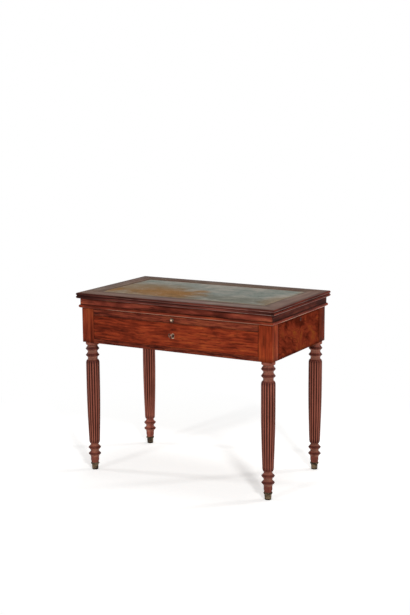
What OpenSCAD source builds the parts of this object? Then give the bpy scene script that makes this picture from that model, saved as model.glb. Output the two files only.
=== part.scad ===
// Rising and tilting architect's table in mahogany: a leather-lined top hinged
// on a frame that a rack and pinion lifts, over a case with a writing slide and
// a locking drawer, on four turned and reeded legs.
// Millimetres. Origin on the floor under the middle of the case, front at -Y.

/* [Case] */
// Length of the case over its two sides
case_length = 884; // [760:1:1100]
// Depth of the case from front to back
case_depth = 502; // [470:1:640]
// Height of the case, from its underside to the half-round moulding
case_height = 146.5; // [142:0.5:180]
// Thickness of the side and back aprons
apron_thickness = 18; // [15:0.5:20]
// Height of the rail under the drawer
bottom_rail_height = 17; // [14:0.5:24]
// Depth of the rail under the drawer
bottom_rail_width = 26; // [20:0.5:36]
// Thickness of the tenons
tenon_thickness = 8; // [6:0.5:9]
// Length of the tenons
tenon_length = 24; // [12:1:26]
// Height of the half-round moulding round the case
moulding_height = 14; // [10:0.5:18]
// How far the moulding stands out from the case
moulding_projection = 10; // [9:0.5:14]

/* [Legs] */
// Height from the floor to the underside of the case
leg_length = 559.5; // [480:0.5:640]
// Side of the square post at the head of each leg
post_width = 57; // [55:0.5:60]
// Largest diameter of the reeded shaft
shaft_diameter = 57; // [50:0.5:57]
// Diameter of the shaft at its lower end
shaft_foot_diameter = 45.7; // [40:0.1:48]
// Diameter of the two rings above the shaft
upper_ring_diameter = 57; // [48:0.5:57.5]
// Diameter of the two rings below the shaft
lower_ring_diameter = 53.2; // [44:0.1:55]
// Diameter of the turned necks between the upper rings
neck_diameter = 41; // [36:0.5:44]
// Number of reeds round the shaft
reed_count = 16; // [8:1:20]
// Width of the groove between two reeds
reed_groove_width = 2.4; // [1:0.1:3.5]
// Depth of the groove between two reeds
reed_groove_depth = 2; // [1:0.1:3]
// Height of the brass cap on each foot
cap_height = 32; // [24:0.5:38]
// Diameter of the brass cap where it stands on the floor
cap_foot_diameter = 26.3; // [25.5:0.1:29]
// Diameter of the brass cap's upper flange
cap_flange_diameter = 36.8; // [34:0.1:40]

/* [Top] */
// How far the top stands out beyond the case all round
top_overhang = 17.5; // [15:0.5:40]
// Thickness of the top
top_thickness = 24; // [20:0.5:30]
// Depth of the groove between the two beads on the top's edge
quirk_depth = 3; // [1:0.5:4]
// Width of the wooden border round the leather
border_width = 78; // [50:1:110]
// Thickness of the leather lining
leather_thickness = 1.5; // [0.8:0.1:2.5]
// How far the leather lies below the border
leather_recess = 0.3; // [0.1:0.1:1]

/* [Lifting frame] */
// Height of the frame that carries the top
lift_frame_height = 26; // [24:0.5:34]
// How far the lifting frame stands out beyond the case
lift_frame_overhang = 4.5; // [2:0.5:8]
// Width of the rails of the lifting frame
lift_rail_width = 62; // [54:0.5:64]
// Width of each lifting post, across the table
lift_post_width = 27.7; // [24:0.1:28.7]
// Depth of each lifting post, front to back
lift_post_depth = 32; // [24:0.5:44]

/* [Lifting gear] */
// Module of the rack and pinion
gear_module = 2.5; // [2.2:0.05:2.8]
// Number of teeth on each pinion, and on the ratchet wheel
pinion_teeth = 12; // [11:1:14]
// Number of rack teeth that the frame rises by
lift_teeth = 14; // [10:1:14]
// Width of each pinion
pinion_width = 9.7; // [7:0.1:13]
// Diameter of the lifting shaft
lift_shaft_diameter = 10; // [8:0.5:11]
// Depth of the lifting shaft's axis below the top of the case
shaft_drop = 16.5; // [16:0.5:22]
// Distance of the lifting shaft behind the middle of the table
shaft_back = 10; // [0:0.5:20]
// Side of the square on the crank end of the shaft
crank_square = 6; // [5:0.1:7]
// Thickness of the ratchet wheel and its pawl
ratchet_thickness = 6; // [4:0.1:6]
// Diameter of the stud that the pawl swings on
pawl_stud_diameter = 8; // [6:0.1:9]
// Angle that the pawl drops when it is let off
pawl_swing = 12; // [9:0.5:14]
// Diameter of the escutcheon round the crank hole
crank_plate_diameter = 17; // [15:0.5:24]

/* [Easel] */
// Distance of the easel's foot from the back rail of the lifting frame
strut_foot_margin = 10; // [10:0.5:40]
// Depth of the easel's pivot below the underside of the top
strut_pivot_drop = 8.5; // [8:0.1:9]
// Width of each easel arm
strut_arm_width = 16; // [12:0.5:20]
// Thickness of the easel arms
strut_arm_thickness = 12; // [10:0.5:13]
// Diameter of the easel's pivot rod and foot rod
strut_rod_diameter = 8; // [6:0.1:8]
// Largest tilt of the top
tilt_angle = 60; // [45:1:60]
// Width of each notched strip
notch_strip_width = 14; // [10:0.5:16]

/* [Hinges] */
// Length of each hinge of the top
hinge_length = 70; // [50:1:90]
// Distance of each hinge from the middle of the table
hinge_offset = 300; // [200:1:320]
// Radius of the hinge knuckles
knuckle_radius = 3; // [2.5:0.1:3.5]
// Diameter of the hinge pins
hinge_pin_diameter = 3; // [2:0.1:3.4]
// Width of the hinge leaves
leaf_width = 25; // [16:0.5:32]

/* [Writing slide] */
// Height of the slide's front
slide_front_height = 28.1; // [24:0.1:30]
// Thickness of the slide's front
slide_front_thickness = 20; // [16:0.5:22]
// Thickness of the slide's board
slide_board_thickness = 16; // [12:0.5:18]
// Diameter of the slide's knob
knob_diameter = 17; // [12:0.5:20]
// How far the knob stands out
knob_projection = 13; // [10:0.5:16]

/* [Drawer] */
// Thickness of the drawer's front
drawer_front_thickness = 20; // [18:0.5:22]
// Thickness of the drawer front where it covers the rail above the drawer
drawer_lip = 10; // [8:0.5:11]
// Thickness of the drawer's sides and back
drawer_wall = 10; // [9:0.5:12]
// Thickness of the drawer's bottom
drawer_bottom_thickness = 6; // [4:0.5:8]
// Height of the rail above the drawer
divider_height = 15; // [12:0.5:18]
// Distance between the drawer and the back of the case
drawer_back_gap = 18; // [8:1:60]

/* [Lock] */
// Depth of the key's axis below the top of the lock
key_drop = 35.6; // [34:0.1:38]
// Width of the lock's case
lock_width = 60; // [44:1:80]
// Height of the lock's case
lock_height = 60; // [56:1:64]
// Thickness of the lock's case
lock_thickness = 9; // [8.5:0.1:9.5]
// Travel of the lock's bolt
bolt_travel = 8; // [6:0.5:9]
// Width of the lock's bolt
bolt_width = 20; // [12:0.5:26]
// Diameter of the key's shank
key_shank_diameter = 5; // [4:0.1:5.2]
// How far the key stands out of the drawer
key_reach = 30; // [26:0.5:34]
// Height of the key's bow
bow_height = 23; // [18:0.5:26]
// Angle that the key's bow leans from upright
key_lean = 25; // [0:1:40]

/* [Hidden] */
$fn = 96;

// Clearance between glued or seated pieces that must not overlap
seat_gap = 0.1;
// Clearance between a sliding piece and what it slides on
slide_gap = 0.3;
// Radial clearance of a turning fit
turn_gap = 0.05;
// Shadow gap round the drawer front and the slide front
face_gap = 0.6;
// Amount by which a cutting solid runs past the face that it cuts
over = 1;

half_x = case_length / 2;
half_y = case_depth / 2;
case_z = leg_length;
case_top = case_z + case_height;
frame_z = case_top + moulding_height;
slab_z = frame_z + lift_frame_height;
table_height = slab_z + top_thickness;

// Posts and the openings between them
leg_x = half_x - post_width / 2;
leg_y = half_y - post_width / 2;
bay_x = half_x - post_width;
bay_y = half_y - post_width;
apron_in_x = half_x - apron_thickness;
apron_in_y = half_y - apron_thickness;

// Heights of the turned features, from the floor and from the case
lower_ring_z = 70.25;
middle_ring_z = 97.9;
shaft_foot_z = 128;
shaft_straight_z = 375;
shaft_top_drop = 91;
second_ring_drop = 58.6;
first_ring_drop = 30.6;
shaft_top_z = leg_length - shaft_top_drop;
second_ring_z = leg_length - second_ring_drop;
first_ring_z = leg_length - first_ring_drop;
ring_half_height = 9;
shaft_end_height = 13;
cap_floor = 8;
cap_wall = 2.8;
cap_rim_drop = 8;
cap_bore_r = cap_foot_diameter / 2 - cap_wall + 1.6;
spigot_r = cap_bore_r - seat_gap;
foot_r = 16;
foot_neck_r = 17.5;
// From the cap to the flare under the lowest ring
foot_height = lower_ring_z - 13 - cap_height;
shaft_neck_r = 16.5;
collar_r = post_width / 2 - 1;
collar_height = 10.5;

// Front of the case, from the bottom rail to the moulding
rail_top = case_z + bottom_rail_height;
slide_front_top = case_top - face_gap;
slide_front_z = slide_front_top - slide_front_height;
drawer_front_z = rail_top + face_gap;
drawer_front_top = slide_front_z - face_gap;
front_half = bay_x - face_gap;
board_z = slide_front_z + 2.7;
board_top = board_z + slide_board_thickness;
divider_top = board_z - slide_gap;
divider_z = divider_top - divider_height;
lip_z = divider_z - face_gap;
divider_depth = 30;
divider_front = -half_y + drawer_lip + face_gap;
divider_back = divider_front + divider_depth;
divider_step = -half_y + slide_front_thickness + face_gap;

// Tenons: how far they stay below the edges of the piece, and where they lie
tenon_shoulder = 20;
rail_shoulder = 2;
bottom_tenon_y = -half_y + bottom_rail_width / 2;
divider_tenon_y = divider_back - tenon_thickness;

// Rails beside the drawer and the slide
runner_side = 6;
runner_out = bay_x + runner_side;
drawer_side_x = bay_x - 4;
runner_guide_x = drawer_side_x + 1.2;
runner_ledge = 16;
runner_lip = 22;
slide_ledge = 17;
drawer_floor = drawer_front_z + 1;
drawer_side_top = divider_z - 1.2;
drawer_back_y = apron_in_y - drawer_back_gap;
bottom_z = drawer_floor + 3;
bottom_groove = 5;

// Lifting shaft, pinions and racks
shaft_y = shaft_back;
shaft_z = case_top - shaft_drop;
shaft_r = lift_shaft_diameter / 2;
pitch_r = gear_module * pinion_teeth / 2;
tooth_pitch = PI * gear_module;
pressure_angle = 20;
flank_gap = 0.3;
tooth_width = tooth_pitch / 2 - flank_gap;
pinion_tip_r = pitch_r + 0.88 * gear_module;
pinion_root_r = pitch_r - gear_module;
base_r = pitch_r * cos(pressure_angle);
rack_tip = 0.68 * gear_module;
rack_root = 1.04 * gear_module;
rack_back = 4.4;
rack_y = shaft_y + pitch_r;
lift_travel = lift_teeth * tooth_pitch;
shaft_bore_gap = 2;
board_back = shaft_y - shaft_r - 10;
bearing_thickness = 3;
bearing_half = pitch_r - 3;
bearing_half_height = 15.5;
pinion_out = apron_in_x - bearing_thickness - slide_gap;
pinion_in = pinion_out - pinion_width;
post_out = apron_in_x - slide_gap;
post_in = post_out - lift_post_width;
post_front = rack_y + rack_root + rack_back;
post_back = post_front + lift_post_depth;
post_bottom = case_z + 3.5;
rack_end = 8;
rack_top_z = shaft_z + tooth_pitch + rack_end;
rack_screw_r = 2;
rack_screw_length = 15;
post_tenon = 14;
guide_thickness = 16;
ratchet_radius = post_front - shaft_y - 1;
ratchet_root = ratchet_radius - 3.5;
ratchet_in = post_in + 2;
ratchet_out = ratchet_in + ratchet_thickness;
pawl_reach = 34;
pawl_below = ratchet_radius + 4.5;
pawl_pivot = [shaft_y - pawl_reach, shaft_z - pawl_below];
pawl_stud_r = pawl_stud_diameter / 2;
crank_plate_thickness = 1.5;

// Top, its hinge line and the easel
lift_half_x = half_x + lift_frame_overhang;
lift_half_y = half_y + lift_frame_overhang;
top_half_x = half_x + top_overhang;
top_half_y = half_y + top_overhang;
hinge_y = -lift_half_y - 2;
hinge_r = hinge_pin_diameter / 2;
leaf_thickness = 1.85;
leaf_gap = 0.15;
middle_knuckle = hinge_length * 0.42;
rod_r = strut_rod_diameter / 2;
foot_y = lift_half_y - lift_rail_width - strut_foot_margin;
// The pivot stands midway, so that the foot keeps its height at both limits of the tilt
arm_more = strut_pivot_drop * tan(tilt_angle / 2);
strut_pivot_reach = (foot_y - hinge_y - arm_more) / 2;
arm_length = strut_pivot_reach + arm_more;
pivot_y = hinge_y + strut_pivot_reach;
pivot_z = slab_z - strut_pivot_drop;
strip_out = lift_half_x - lift_rail_width;
strip_in = strip_out - notch_strip_width;
rod_half = strip_out - 2.5;
arm_out = strip_in - 2.5;
arm_in = arm_out - strut_arm_width;
notch_step = 10;
first_notch = 2 * notch_step;
cleat_width = 15;
cleat_length = 29;
cross_rail_width = 24;
cross_rail_y = pivot_y + arm_length * 0.55;
strip_top = pivot_z - rod_r - 2;

// Lock and key
key_z = lip_z - key_drop;
key_r = key_shank_diameter / 2;
lock_back = -half_y + drawer_front_thickness;
lock_front = lock_back - lock_thickness;
lock_top = lip_z;
lock_z = lock_top - lock_height;
lock_wall = 1;
bolt_thickness = 4;
bolt_y = lock_back - 1.5 - bolt_thickness;
bolt_bottom = key_z + key_r + 0.5;
bit_length = 9;
bit_thickness = 3.6;
bow_thickness = 3;
bow_length = 19;
bow_bar = 3.2;
escutcheon_thickness = 1.2;
keyhole_gap = 0.7;
escutcheon_r = 7;
escutcheon_half = 5.2;
escutcheon_drop = 14;
knob_hole_z = (slide_front_z + slide_front_top) / 2 - 1;
knob_stem_r = 3;
knob_stem_length = slide_front_thickness - 6.5;
shaft_end_x = half_x - 0.5;

function polar(r, a) = [r * cos(a), r * sin(a)];

// Where the easel's foot stands, front to back, at a tilt of the top
function foot_y_at(a) = hinge_y + strut_pivot_reach * cos(a)
    + strut_pivot_drop * sin(a) + arm_length * cos(a);

module block(x0, x1, y0, y1, z0, z1) {
    translate([x0, y0, z0]) cube([x1 - x0, y1 - y0, z1 - z0]);
}

module both_sides() {
    children();
    mirror([1, 0, 0]) children();
}

module on_left() {
    mirror([1, 0, 0]) children();
}

module on_side(sx) {
    if (sx > 0) children();
    else on_left() children();
}

// A flat shape in Y and Z, carried along X
module along_x(x0, x1) {
    translate([x0, 0, 0]) rotate([90, 0, 90]) linear_extrude(x1 - x0) children();
}

module rod_x(x0, x1, y, z, r) {
    translate([x0, y, z]) rotate([0, 90, 0]) cylinder(h = x1 - x0, r = r);
}

module rod_y(y0, y1, x, z, r) {
    translate([x, y1, z]) rotate([90, 0, 0]) cylinder(h = y1 - y0, r = r);
}

// A bar along one side of a rectangle, its ends cut at 45 degrees. The profile's
// first axis points outwards from the side's face, and its second axis up.
module mitred_bar(side, half_run, half_out, width, z0, height) {
    odd = side % 2 == 1;
    run = odd ? half_out : half_run;
    out = odd ? half_run : half_out;
    rotate([0, 0, 90 * side]) intersection() {
        translate([0, 0, z0 - over]) linear_extrude(height + 2 * over)
            polygon([[-run, -out], [run, -out], [run - width, width - out],
                     [width - run, width - out]]);
        translate([0, -out, z0]) mirror([0, 1, 0]) rotate([90, 0, 90])
            linear_extrude(2 * run, center = true) children();
    }
}

// Turned part of the leg

function shaft_radius(z) = shaft_foot_diameter / 2 + (shaft_diameter - shaft_foot_diameter) / 2
    * sin(90 * min(1, (z - shaft_foot_z) / (shaft_straight_z - shaft_foot_z)));

function ring(z, neck_low, neck_high, r) = [
    [neck_low, z - ring_half_height], [r - 1.4, z - 3.2], [r, z - 1],
    [r, z + 1], [r - 1.4, z + 3.2], [neck_high, z + ring_half_height]
];

// Blunt end of the reeded shaft, from its full radius in to the neck's
function shaft_end(z, way, full, neck) = [for (k = [[0.16, 0.12], [0.46, 0.32], [0.77, 0.63], [1, 1]])
    [full + (neck - full) * k[1], z + way * shaft_end_height * k[0]]];

shaft_steps = [for (i = [0:6])
    let (z = shaft_foot_z + (shaft_straight_z - shaft_foot_z) * i / 6) [shaft_radius(z), z]];

leg_profile = concat(
    [[0, cap_floor + seat_gap], [spigot_r, cap_floor + seat_gap], [spigot_r, cap_height],
     [foot_r, cap_height], [foot_r, cap_height + 0.18 * foot_height],
     [foot_neck_r, cap_height + 0.36 * foot_height], [foot_neck_r, cap_height + 0.8 * foot_height],
     [foot_neck_r + 1, cap_height + foot_height]],
    ring(lower_ring_z, foot_neck_r + 2, foot_neck_r, lower_ring_diameter / 2),
    ring(middle_ring_z, foot_neck_r, shaft_neck_r, lower_ring_diameter / 2),
    [for (i = [3:-1:1]) shaft_end(shaft_foot_z, -1, shaft_foot_diameter / 2, shaft_neck_r)[i]],
    shaft_steps,
    [[shaft_diameter / 2, shaft_top_z]],
    shaft_end(shaft_top_z, 1, shaft_diameter / 2, neck_diameter / 2),
    ring(second_ring_z, neck_diameter / 2, neck_diameter / 2, upper_ring_diameter / 2),
    ring(first_ring_z, neck_diameter / 2, neck_diameter / 2, upper_ring_diameter / 2),
    [[neck_diameter / 2, leg_length - collar_height - 6], [collar_r, leg_length - collar_height],
     [collar_r, leg_length - 2], [collar_r - 1, leg_length],
     [collar_r - 1, leg_length + over], [0, leg_length + over]]
);

// Groove between two reeds, following the shaft down its taper
module reed_groove() {
    rotate([90, 0, 0]) linear_extrude(reed_groove_width, center = true)
        polygon(concat(
            [[shaft_foot_diameter / 2 - reed_groove_depth, shaft_foot_z - shaft_end_height + 3]],
            [for (p = shaft_steps) [p[0] - reed_groove_depth, p[1]]],
            [[shaft_diameter / 2 - reed_groove_depth, shaft_top_z + shaft_end_height - 3],
             [shaft_diameter / 2 + over, shaft_top_z + shaft_end_height - 3],
             [shaft_diameter / 2 + over, shaft_foot_z - shaft_end_height + 3]]));
}

module turned_leg() {
    difference() {
        rotate_extrude() polygon(leg_profile);
        for (i = [0:reed_count - 1]) rotate([0, 0, (i + 0.5) * 360 / reed_count]) reed_groove();
    }
}

// The tenons are grown by a gap where they cut the mortises that hold them
module side_tenon(gap) {
    reach = bay_y + tenon_length + gap;
    mid = half_x - apron_thickness / 2;
    half = tenon_thickness / 2 + gap;
    block(mid - half, mid + half, -reach, reach, case_z + tenon_shoulder - gap,
          case_top - tenon_shoulder + gap);
}

module back_tenon(gap) {
    mid = half_y - apron_thickness / 2;
    half = tenon_thickness / 2 + gap;
    block(bay_x - over, bay_x + tenon_length + gap, mid - half, mid + half,
          case_z + tenon_shoulder - gap, case_top - tenon_shoulder + gap);
}

module front_tenon(z0, z1, y_mid, gap) {
    half = tenon_thickness / 2 + gap;
    block(bay_x - over, bay_x + tenon_length + gap, y_mid - half, y_mid + half,
          z0 + rail_shoulder - gap, z1 - rail_shoulder + gap);
}

module leg(sx, sy) {
    color("#6b2f22") {
        translate([sx * leg_x, sy * leg_y, 0]) turned_leg();
        on_side(sx) difference() {
            translate([leg_x, sy * leg_y, case_z]) translate([-post_width / 2, -post_width / 2, 0])
                cube([post_width, post_width, case_height]);
            side_tenon(seat_gap);
            if (sy > 0) back_tenon(seat_gap);
            if (sy < 0) front_tenon(case_z, rail_top, bottom_tenon_y, seat_gap);
            if (sy < 0) front_tenon(divider_z, divider_top, divider_tenon_y, seat_gap);
        }
    }
}

module foot_caps() {
    color("#6f6440") for (sx = [-1, 1], sy = [-1, 1]) translate([sx * leg_x, sy * leg_y, 0])
        rotate_extrude() polygon([[0, 0], [cap_foot_diameter / 2, 0],
            [cap_foot_diameter / 2 + 1.6, cap_height - cap_rim_drop],
            [cap_flange_diameter / 2, cap_height - cap_rim_drop + 2],
            [cap_flange_diameter / 2, cap_height - 2], [foot_r + 0.5, cap_height],
            [cap_bore_r, cap_height], [cap_bore_r, cap_floor], [0, cap_floor]]);
}

// Case

module side_apron(bore_depth, bore_r) {
    difference() {
        union() {
            block(apron_in_x, half_x, -bay_y, bay_y, case_z, case_top);
            side_tenon(0);
        }
        rod_x(apron_in_x - over, apron_in_x + bore_depth, shaft_y, shaft_z, bore_r);
    }
}

module apron_left() {
    color("#6a2c18") on_left() side_apron(apron_thickness - 5, shaft_r + 1);
}

module apron_right() {
    color("#6a2c18") side_apron(apron_thickness + over, shaft_r + shaft_bore_gap);
}

module apron_back() {
    color("#6a2c18") {
        block(-bay_x, bay_x, apron_in_y, half_y, case_z, case_top);
        both_sides() back_tenon(0);
    }
}

module front_rail() {
    color("#7a3a1c") {
        block(-bay_x, bay_x, -half_y, bottom_rail_width - half_y, case_z, rail_top);
        both_sides() front_tenon(case_z, rail_top, bottom_tenon_y, 0);
    }
}

// Rail above the drawer, stepped down behind the slide front, with a mortise
// that takes the lock's bolt
module divider_rail() {
    color("#7a3a1c") difference() {
        union() {
            block(-bay_x, bay_x, divider_step, divider_back, divider_z, divider_top);
            block(-bay_x, bay_x, divider_front, divider_step + over, divider_z,
                  slide_front_z - face_gap);
            both_sides() front_tenon(divider_z, divider_top, divider_tenon_y, 0);
        }
        block(-bolt_width / 2 - 1, bolt_width / 2 + 1, bolt_y - 0.5, bolt_y + bolt_thickness + 0.5,
              divider_z - over, lock_top + bolt_travel + 1);
    }
}

module moulding(side) {
    color("#5a2218") mitred_bar(side, half_x + moulding_projection, half_y + moulding_projection,
            apron_thickness + moulding_projection, case_top, moulding_height)
        union() {
            translate([-apron_thickness - moulding_projection - over, 0])
                square([apron_thickness + moulding_projection + over - moulding_height / 2,
                        moulding_height]);
            translate([-moulding_height / 2, moulding_height / 2]) circle(moulding_height / 2);
        }
}

module drawer_runners() {
    color("#9a7a52") both_sides() {
        block(runner_guide_x - runner_ledge, runner_out, -bay_y, bay_y, case_z, drawer_floor - slide_gap);
        block(runner_guide_x, runner_out, -bay_y, bay_y, drawer_floor - slide_gap - over,
              drawer_floor + runner_lip);
    }
}

// Grooved rails that carry the slide's board, bored for the lifting shaft
module slide_runners() {
    color("#9a7a52") both_sides() difference() {
        block(drawer_side_x - slide_ledge, runner_out, -bay_y, bay_y, divider_z,
              slide_front_top);
        block(drawer_side_x - slide_ledge - over, drawer_side_x + slide_gap, -bay_y - over,
              board_back + 3, board_z - slide_gap, board_top + slide_gap);
        rod_x(drawer_side_x - slide_ledge - over, runner_out + over, shaft_y, shaft_z,
              shaft_r + shaft_bore_gap);
    }
}

// Channels on the side aprons that the lifting posts run in
module post_guides() {
    color("#9a7a52") both_sides() {
        block(runner_out, apron_in_x, post_back + slide_gap,
              post_back + slide_gap + guide_thickness, rail_top, case_top);
        block(runner_out, post_in - slide_gap, post_front, post_back + slide_gap + over,
              rail_top, case_top);
    }
}

module shaft_bearings() {
    color("#a8863c") both_sides() difference() {
        block(apron_in_x - bearing_thickness, apron_in_x, shaft_y - bearing_half,
              shaft_y + bearing_half, shaft_z - bearing_half_height,
              shaft_z + bearing_half_height);
        rod_x(apron_in_x - bearing_thickness - over, apron_in_x + over, shaft_y, shaft_z,
              shaft_r + turn_gap);
    }
}

module crank_escutcheon() {
    color("#4a3a26") difference() {
        rod_x(half_x, half_x + crank_plate_thickness, shaft_y, shaft_z, crank_plate_diameter / 2);
        rod_x(half_x - over, half_x + crank_plate_thickness + over, shaft_y, shaft_z,
              shaft_r + 0.5);
    }
}

module pawl_stud() {
    color("#6e6e6c") {
        rod_x(ratchet_in - 3, apron_in_x, pawl_pivot[0], pawl_pivot[1], pawl_stud_r);
        rod_x(ratchet_out + slide_gap, apron_in_x, pawl_pivot[0], pawl_pivot[1], pawl_stud_r + 2);
        rod_x(ratchet_in - 3, ratchet_in - slide_gap, pawl_pivot[0], pawl_pivot[1], pawl_stud_r + 1.5);
    }
}

// Lifting frame

module lift_frame_bar(side) {
    mitred_bar(side, lift_half_x, lift_half_y, lift_rail_width, frame_z, lift_frame_height)
        translate([-lift_rail_width - over, 0])
            square([lift_rail_width + over, lift_frame_height]);
}

// Pocket in the wood for the hinges: the knuckles' round and a let-in leaf
module hinge_pocket(z0) {
    for (s = [-1, 1]) {
        rod_x(s * hinge_offset - hinge_length / 2 - 0.5, s * hinge_offset + hinge_length / 2 + 0.5,
              hinge_y, slab_z, knuckle_radius + 0.4);
        block(s * hinge_offset - hinge_length / 2, s * hinge_offset + hinge_length / 2, hinge_y,
              hinge_y + leaf_width + 3, z0, z0 + leaf_thickness + leaf_gap);
    }
}

module lift_frame_front() {
    color("#7a3020") difference() {
        lift_frame_bar(0);
        hinge_pocket(slab_z - leaf_thickness - leaf_gap);
    }
}

module lift_frame_side(side) {
    color("#7a3020") difference() {
        lift_frame_bar(side);
        on_side(side == 1 ? 1 : -1) post_tenon_solid(seat_gap);
    }
}

module lift_frame_back() {
    color("#7a3020") lift_frame_bar(2);
}

module post_tenon_solid(gap) {
    block(post_in + 6 - gap, post_out - 6 + gap, post_front + 8 - gap, post_back - 8 + gap,
          frame_z - over, frame_z + post_tenon + gap);
}

module lift_post() {
    difference() {
        union() {
            block(post_in, post_out, post_front, post_back, post_bottom, frame_z);
            post_tenon_solid(0);
        }
        rack_screw_holes(rack_screw_r + seat_gap);
    }
}

module rack_screw_holes(r) {
    for (z = [post_bottom + rack_end / 2, rack_top_z - rack_end / 2])
        rod_y(post_front - rack_back - over, post_front - rack_back + rack_screw_length + seat_gap,
              (pinion_in + pinion_out) / 2, z, r);
}

// Rack teeth point forwards, with a gap level with the shaft when the top is down
module rack() {
    half_tip = tooth_width / 2 - rack_tip * tan(pressure_angle);
    half_root = tooth_width / 2 + rack_root * tan(pressure_angle);
    first = ceil((post_bottom + rack_end - shaft_z) / tooth_pitch - 0.5);
    difference() {
        union() {
            block(pinion_in - 0.5, pinion_out + 0.2, rack_y + rack_root, post_front, post_bottom,
                  rack_top_z);
            along_x(pinion_in - 0.5, pinion_out + 0.2) for (i = [first:0])
                translate([rack_y, shaft_z + (i + 0.5) * tooth_pitch])
                    polygon([[-rack_tip, -half_tip], [rack_root + 0.5, -half_root],
                             [rack_root + 0.5, half_root], [-rack_tip, half_tip]]);
        }
        rack_screw_holes(rack_screw_r + seat_gap);
    }
}

module rack_screws() {
    color("#8a8a86") both_sides()
        for (z = [post_bottom + rack_end / 2, rack_top_z - rack_end / 2])
            translate([(pinion_in + pinion_out) / 2, 0, z]) {
                rod_y(post_front - rack_back, post_front - rack_back + rack_screw_length, 0, 0,
                      rack_screw_r);
                rod_y(post_front - rack_back - 1.2, post_front - rack_back, 0, 0, rack_screw_r + 1.2);
            }
}

// Strips with round notches where the easel's foot rod stands
module notch_strips() {
    color("#8a6a44") both_sides() difference() {
        block(strip_in, strip_out, foot_y_at(tilt_angle) - 8, foot_y + 6, frame_z, strip_top);
        for (a = [first_notch:notch_step:tilt_angle]) rod_x(strip_in - over, strip_out + over, foot_y_at(a),
                                          strip_top, rod_r + 0.6);
    }
}

// Hinges of the top

module knuckle(x0, x1, r_pin) {
    difference() {
        rod_x(x0, x1, hinge_y, slab_z, knuckle_radius);
        rod_x(x0 - over, x1 + over, hinge_y, slab_z, r_pin);
    }
}

module hinge_lower_leaves() {
    end = (hinge_length - middle_knuckle) / 2 - slide_gap;
    color("#b08a3c") for (s = [-1, 1]) translate([s * hinge_offset, 0, 0]) difference() {
        union() {
            block(-hinge_length / 2, hinge_length / 2, hinge_y, hinge_y + leaf_width + 3,
                  slab_z - leaf_thickness - leaf_gap, slab_z - leaf_gap);
            for (e = [-1, 1]) rod_x(e > 0 ? hinge_length / 2 - end : -hinge_length / 2,
                                    e > 0 ? hinge_length / 2 : end - hinge_length / 2,
                                    hinge_y, slab_z, knuckle_radius);
        }
        rod_x(end - hinge_length / 2, hinge_length / 2 - end, hinge_y, slab_z, knuckle_radius + 0.4);
        rod_x(-hinge_length, hinge_length, hinge_y, slab_z, hinge_r + turn_gap);
    }
}

module hinge_upper_leaves() {
    color("#b08a3c") for (s = [-1, 1]) translate([s * hinge_offset, 0, 0]) difference() {
        union() {
            block(-hinge_length / 2, hinge_length / 2, hinge_y, hinge_y + leaf_width + 3,
                  slab_z + leaf_gap, slab_z + leaf_gap + leaf_thickness);
            rod_x(-middle_knuckle / 2, middle_knuckle / 2, hinge_y, slab_z, knuckle_radius);
        }
        for (e = [-1, 1]) translate([e * (middle_knuckle / 2 + hinge_length / 2), 0, 0])
            rod_x(-hinge_length / 2, hinge_length / 2, hinge_y, slab_z, knuckle_radius + 0.4);
        rod_x(-hinge_length, hinge_length, hinge_y, slab_z, hinge_r + 0.02);
    }
}

module hinge_pins() {
    color("#b08a3c") for (s = [-1, 1])
        rod_x(s * hinge_offset - hinge_length / 2, s * hinge_offset + hinge_length / 2, hinge_y,
              slab_z, hinge_r);
}

// Lifting shaft, pinions, ratchet and pawl

module lift_shaft() {
    color("#77746e") {
        rod_x(-(half_x - 8), half_x - 10, shaft_y, shaft_z, shaft_r);
        translate([half_x - 10 - over, shaft_y - crank_square / 2, shaft_z - crank_square / 2])
            cube([shaft_end_x - half_x + 10 + over, crank_square, crank_square]);
    }
}

function involute(r) = let (c = acos(base_r / r)) tan(c) * 180 / PI - c;

// One tooth of the pinion, pointing along the first axis
module pinion_tooth() {
    half = tooth_width / pitch_r / 2 * 180 / PI + involute(pitch_r);
    steps = [for (i = [0:4]) base_r + (pinion_tip_r - base_r) * i / 4];
    polygon(concat([polar(pinion_root_r - 1, -half)],
        [for (r = steps) polar(r, -(half - involute(r)))],
        [for (i = [4:-1:0]) polar(steps[i], half - involute(steps[i]))],
        [polar(pinion_root_r - 1, half)]));
}

module pinions() {
    color("#77746e") both_sides() difference() {
        along_x(pinion_in, pinion_out) translate([shaft_y, shaft_z]) {
            circle(pinion_root_r);
            for (i = [0:pinion_teeth - 1]) rotate(i * 360 / pinion_teeth) pinion_tooth();
        }
        rod_x(pinion_in - over, pinion_out + over, shaft_y, shaft_z, shaft_r + 0.02);
    }
}

module ratchet_wheel() {
    step = 360 / pinion_teeth;
    color("#77746e") difference() {
        along_x(ratchet_in, ratchet_out) translate([shaft_y, shaft_z])
            polygon([for (i = [0:pinion_teeth - 1], k = [0, 1])
                k == 0 ? polar(ratchet_root, i * step) : polar(ratchet_radius, i * step)]);
        rod_x(ratchet_in - over, ratchet_out + over, shaft_y, shaft_z, shaft_r + 0.02);
    }
}

// The pawl is drawn in its tooth, then dropped by its swing
module pawl() {
    tip_y = pawl_reach - 2 * slide_gap;
    color("#6e6e6c") along_x(ratchet_in, ratchet_out) difference() {
        translate(pawl_pivot) rotate(-pawl_swing) union() {
            circle(pawl_stud_r + 2.5);
            polygon([[0, -5], [tip_y, pawl_below - ratchet_radius + 0.2],
                     [tip_y, pawl_below - ratchet_root - 0.9], [0, 5.5]]);
            polygon([[1, 5], [-24, -10], [-22, -15], [1, -5]]);
        }
        translate(pawl_pivot) circle(pawl_stud_r + turn_gap);
    }
}

// Top

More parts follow.
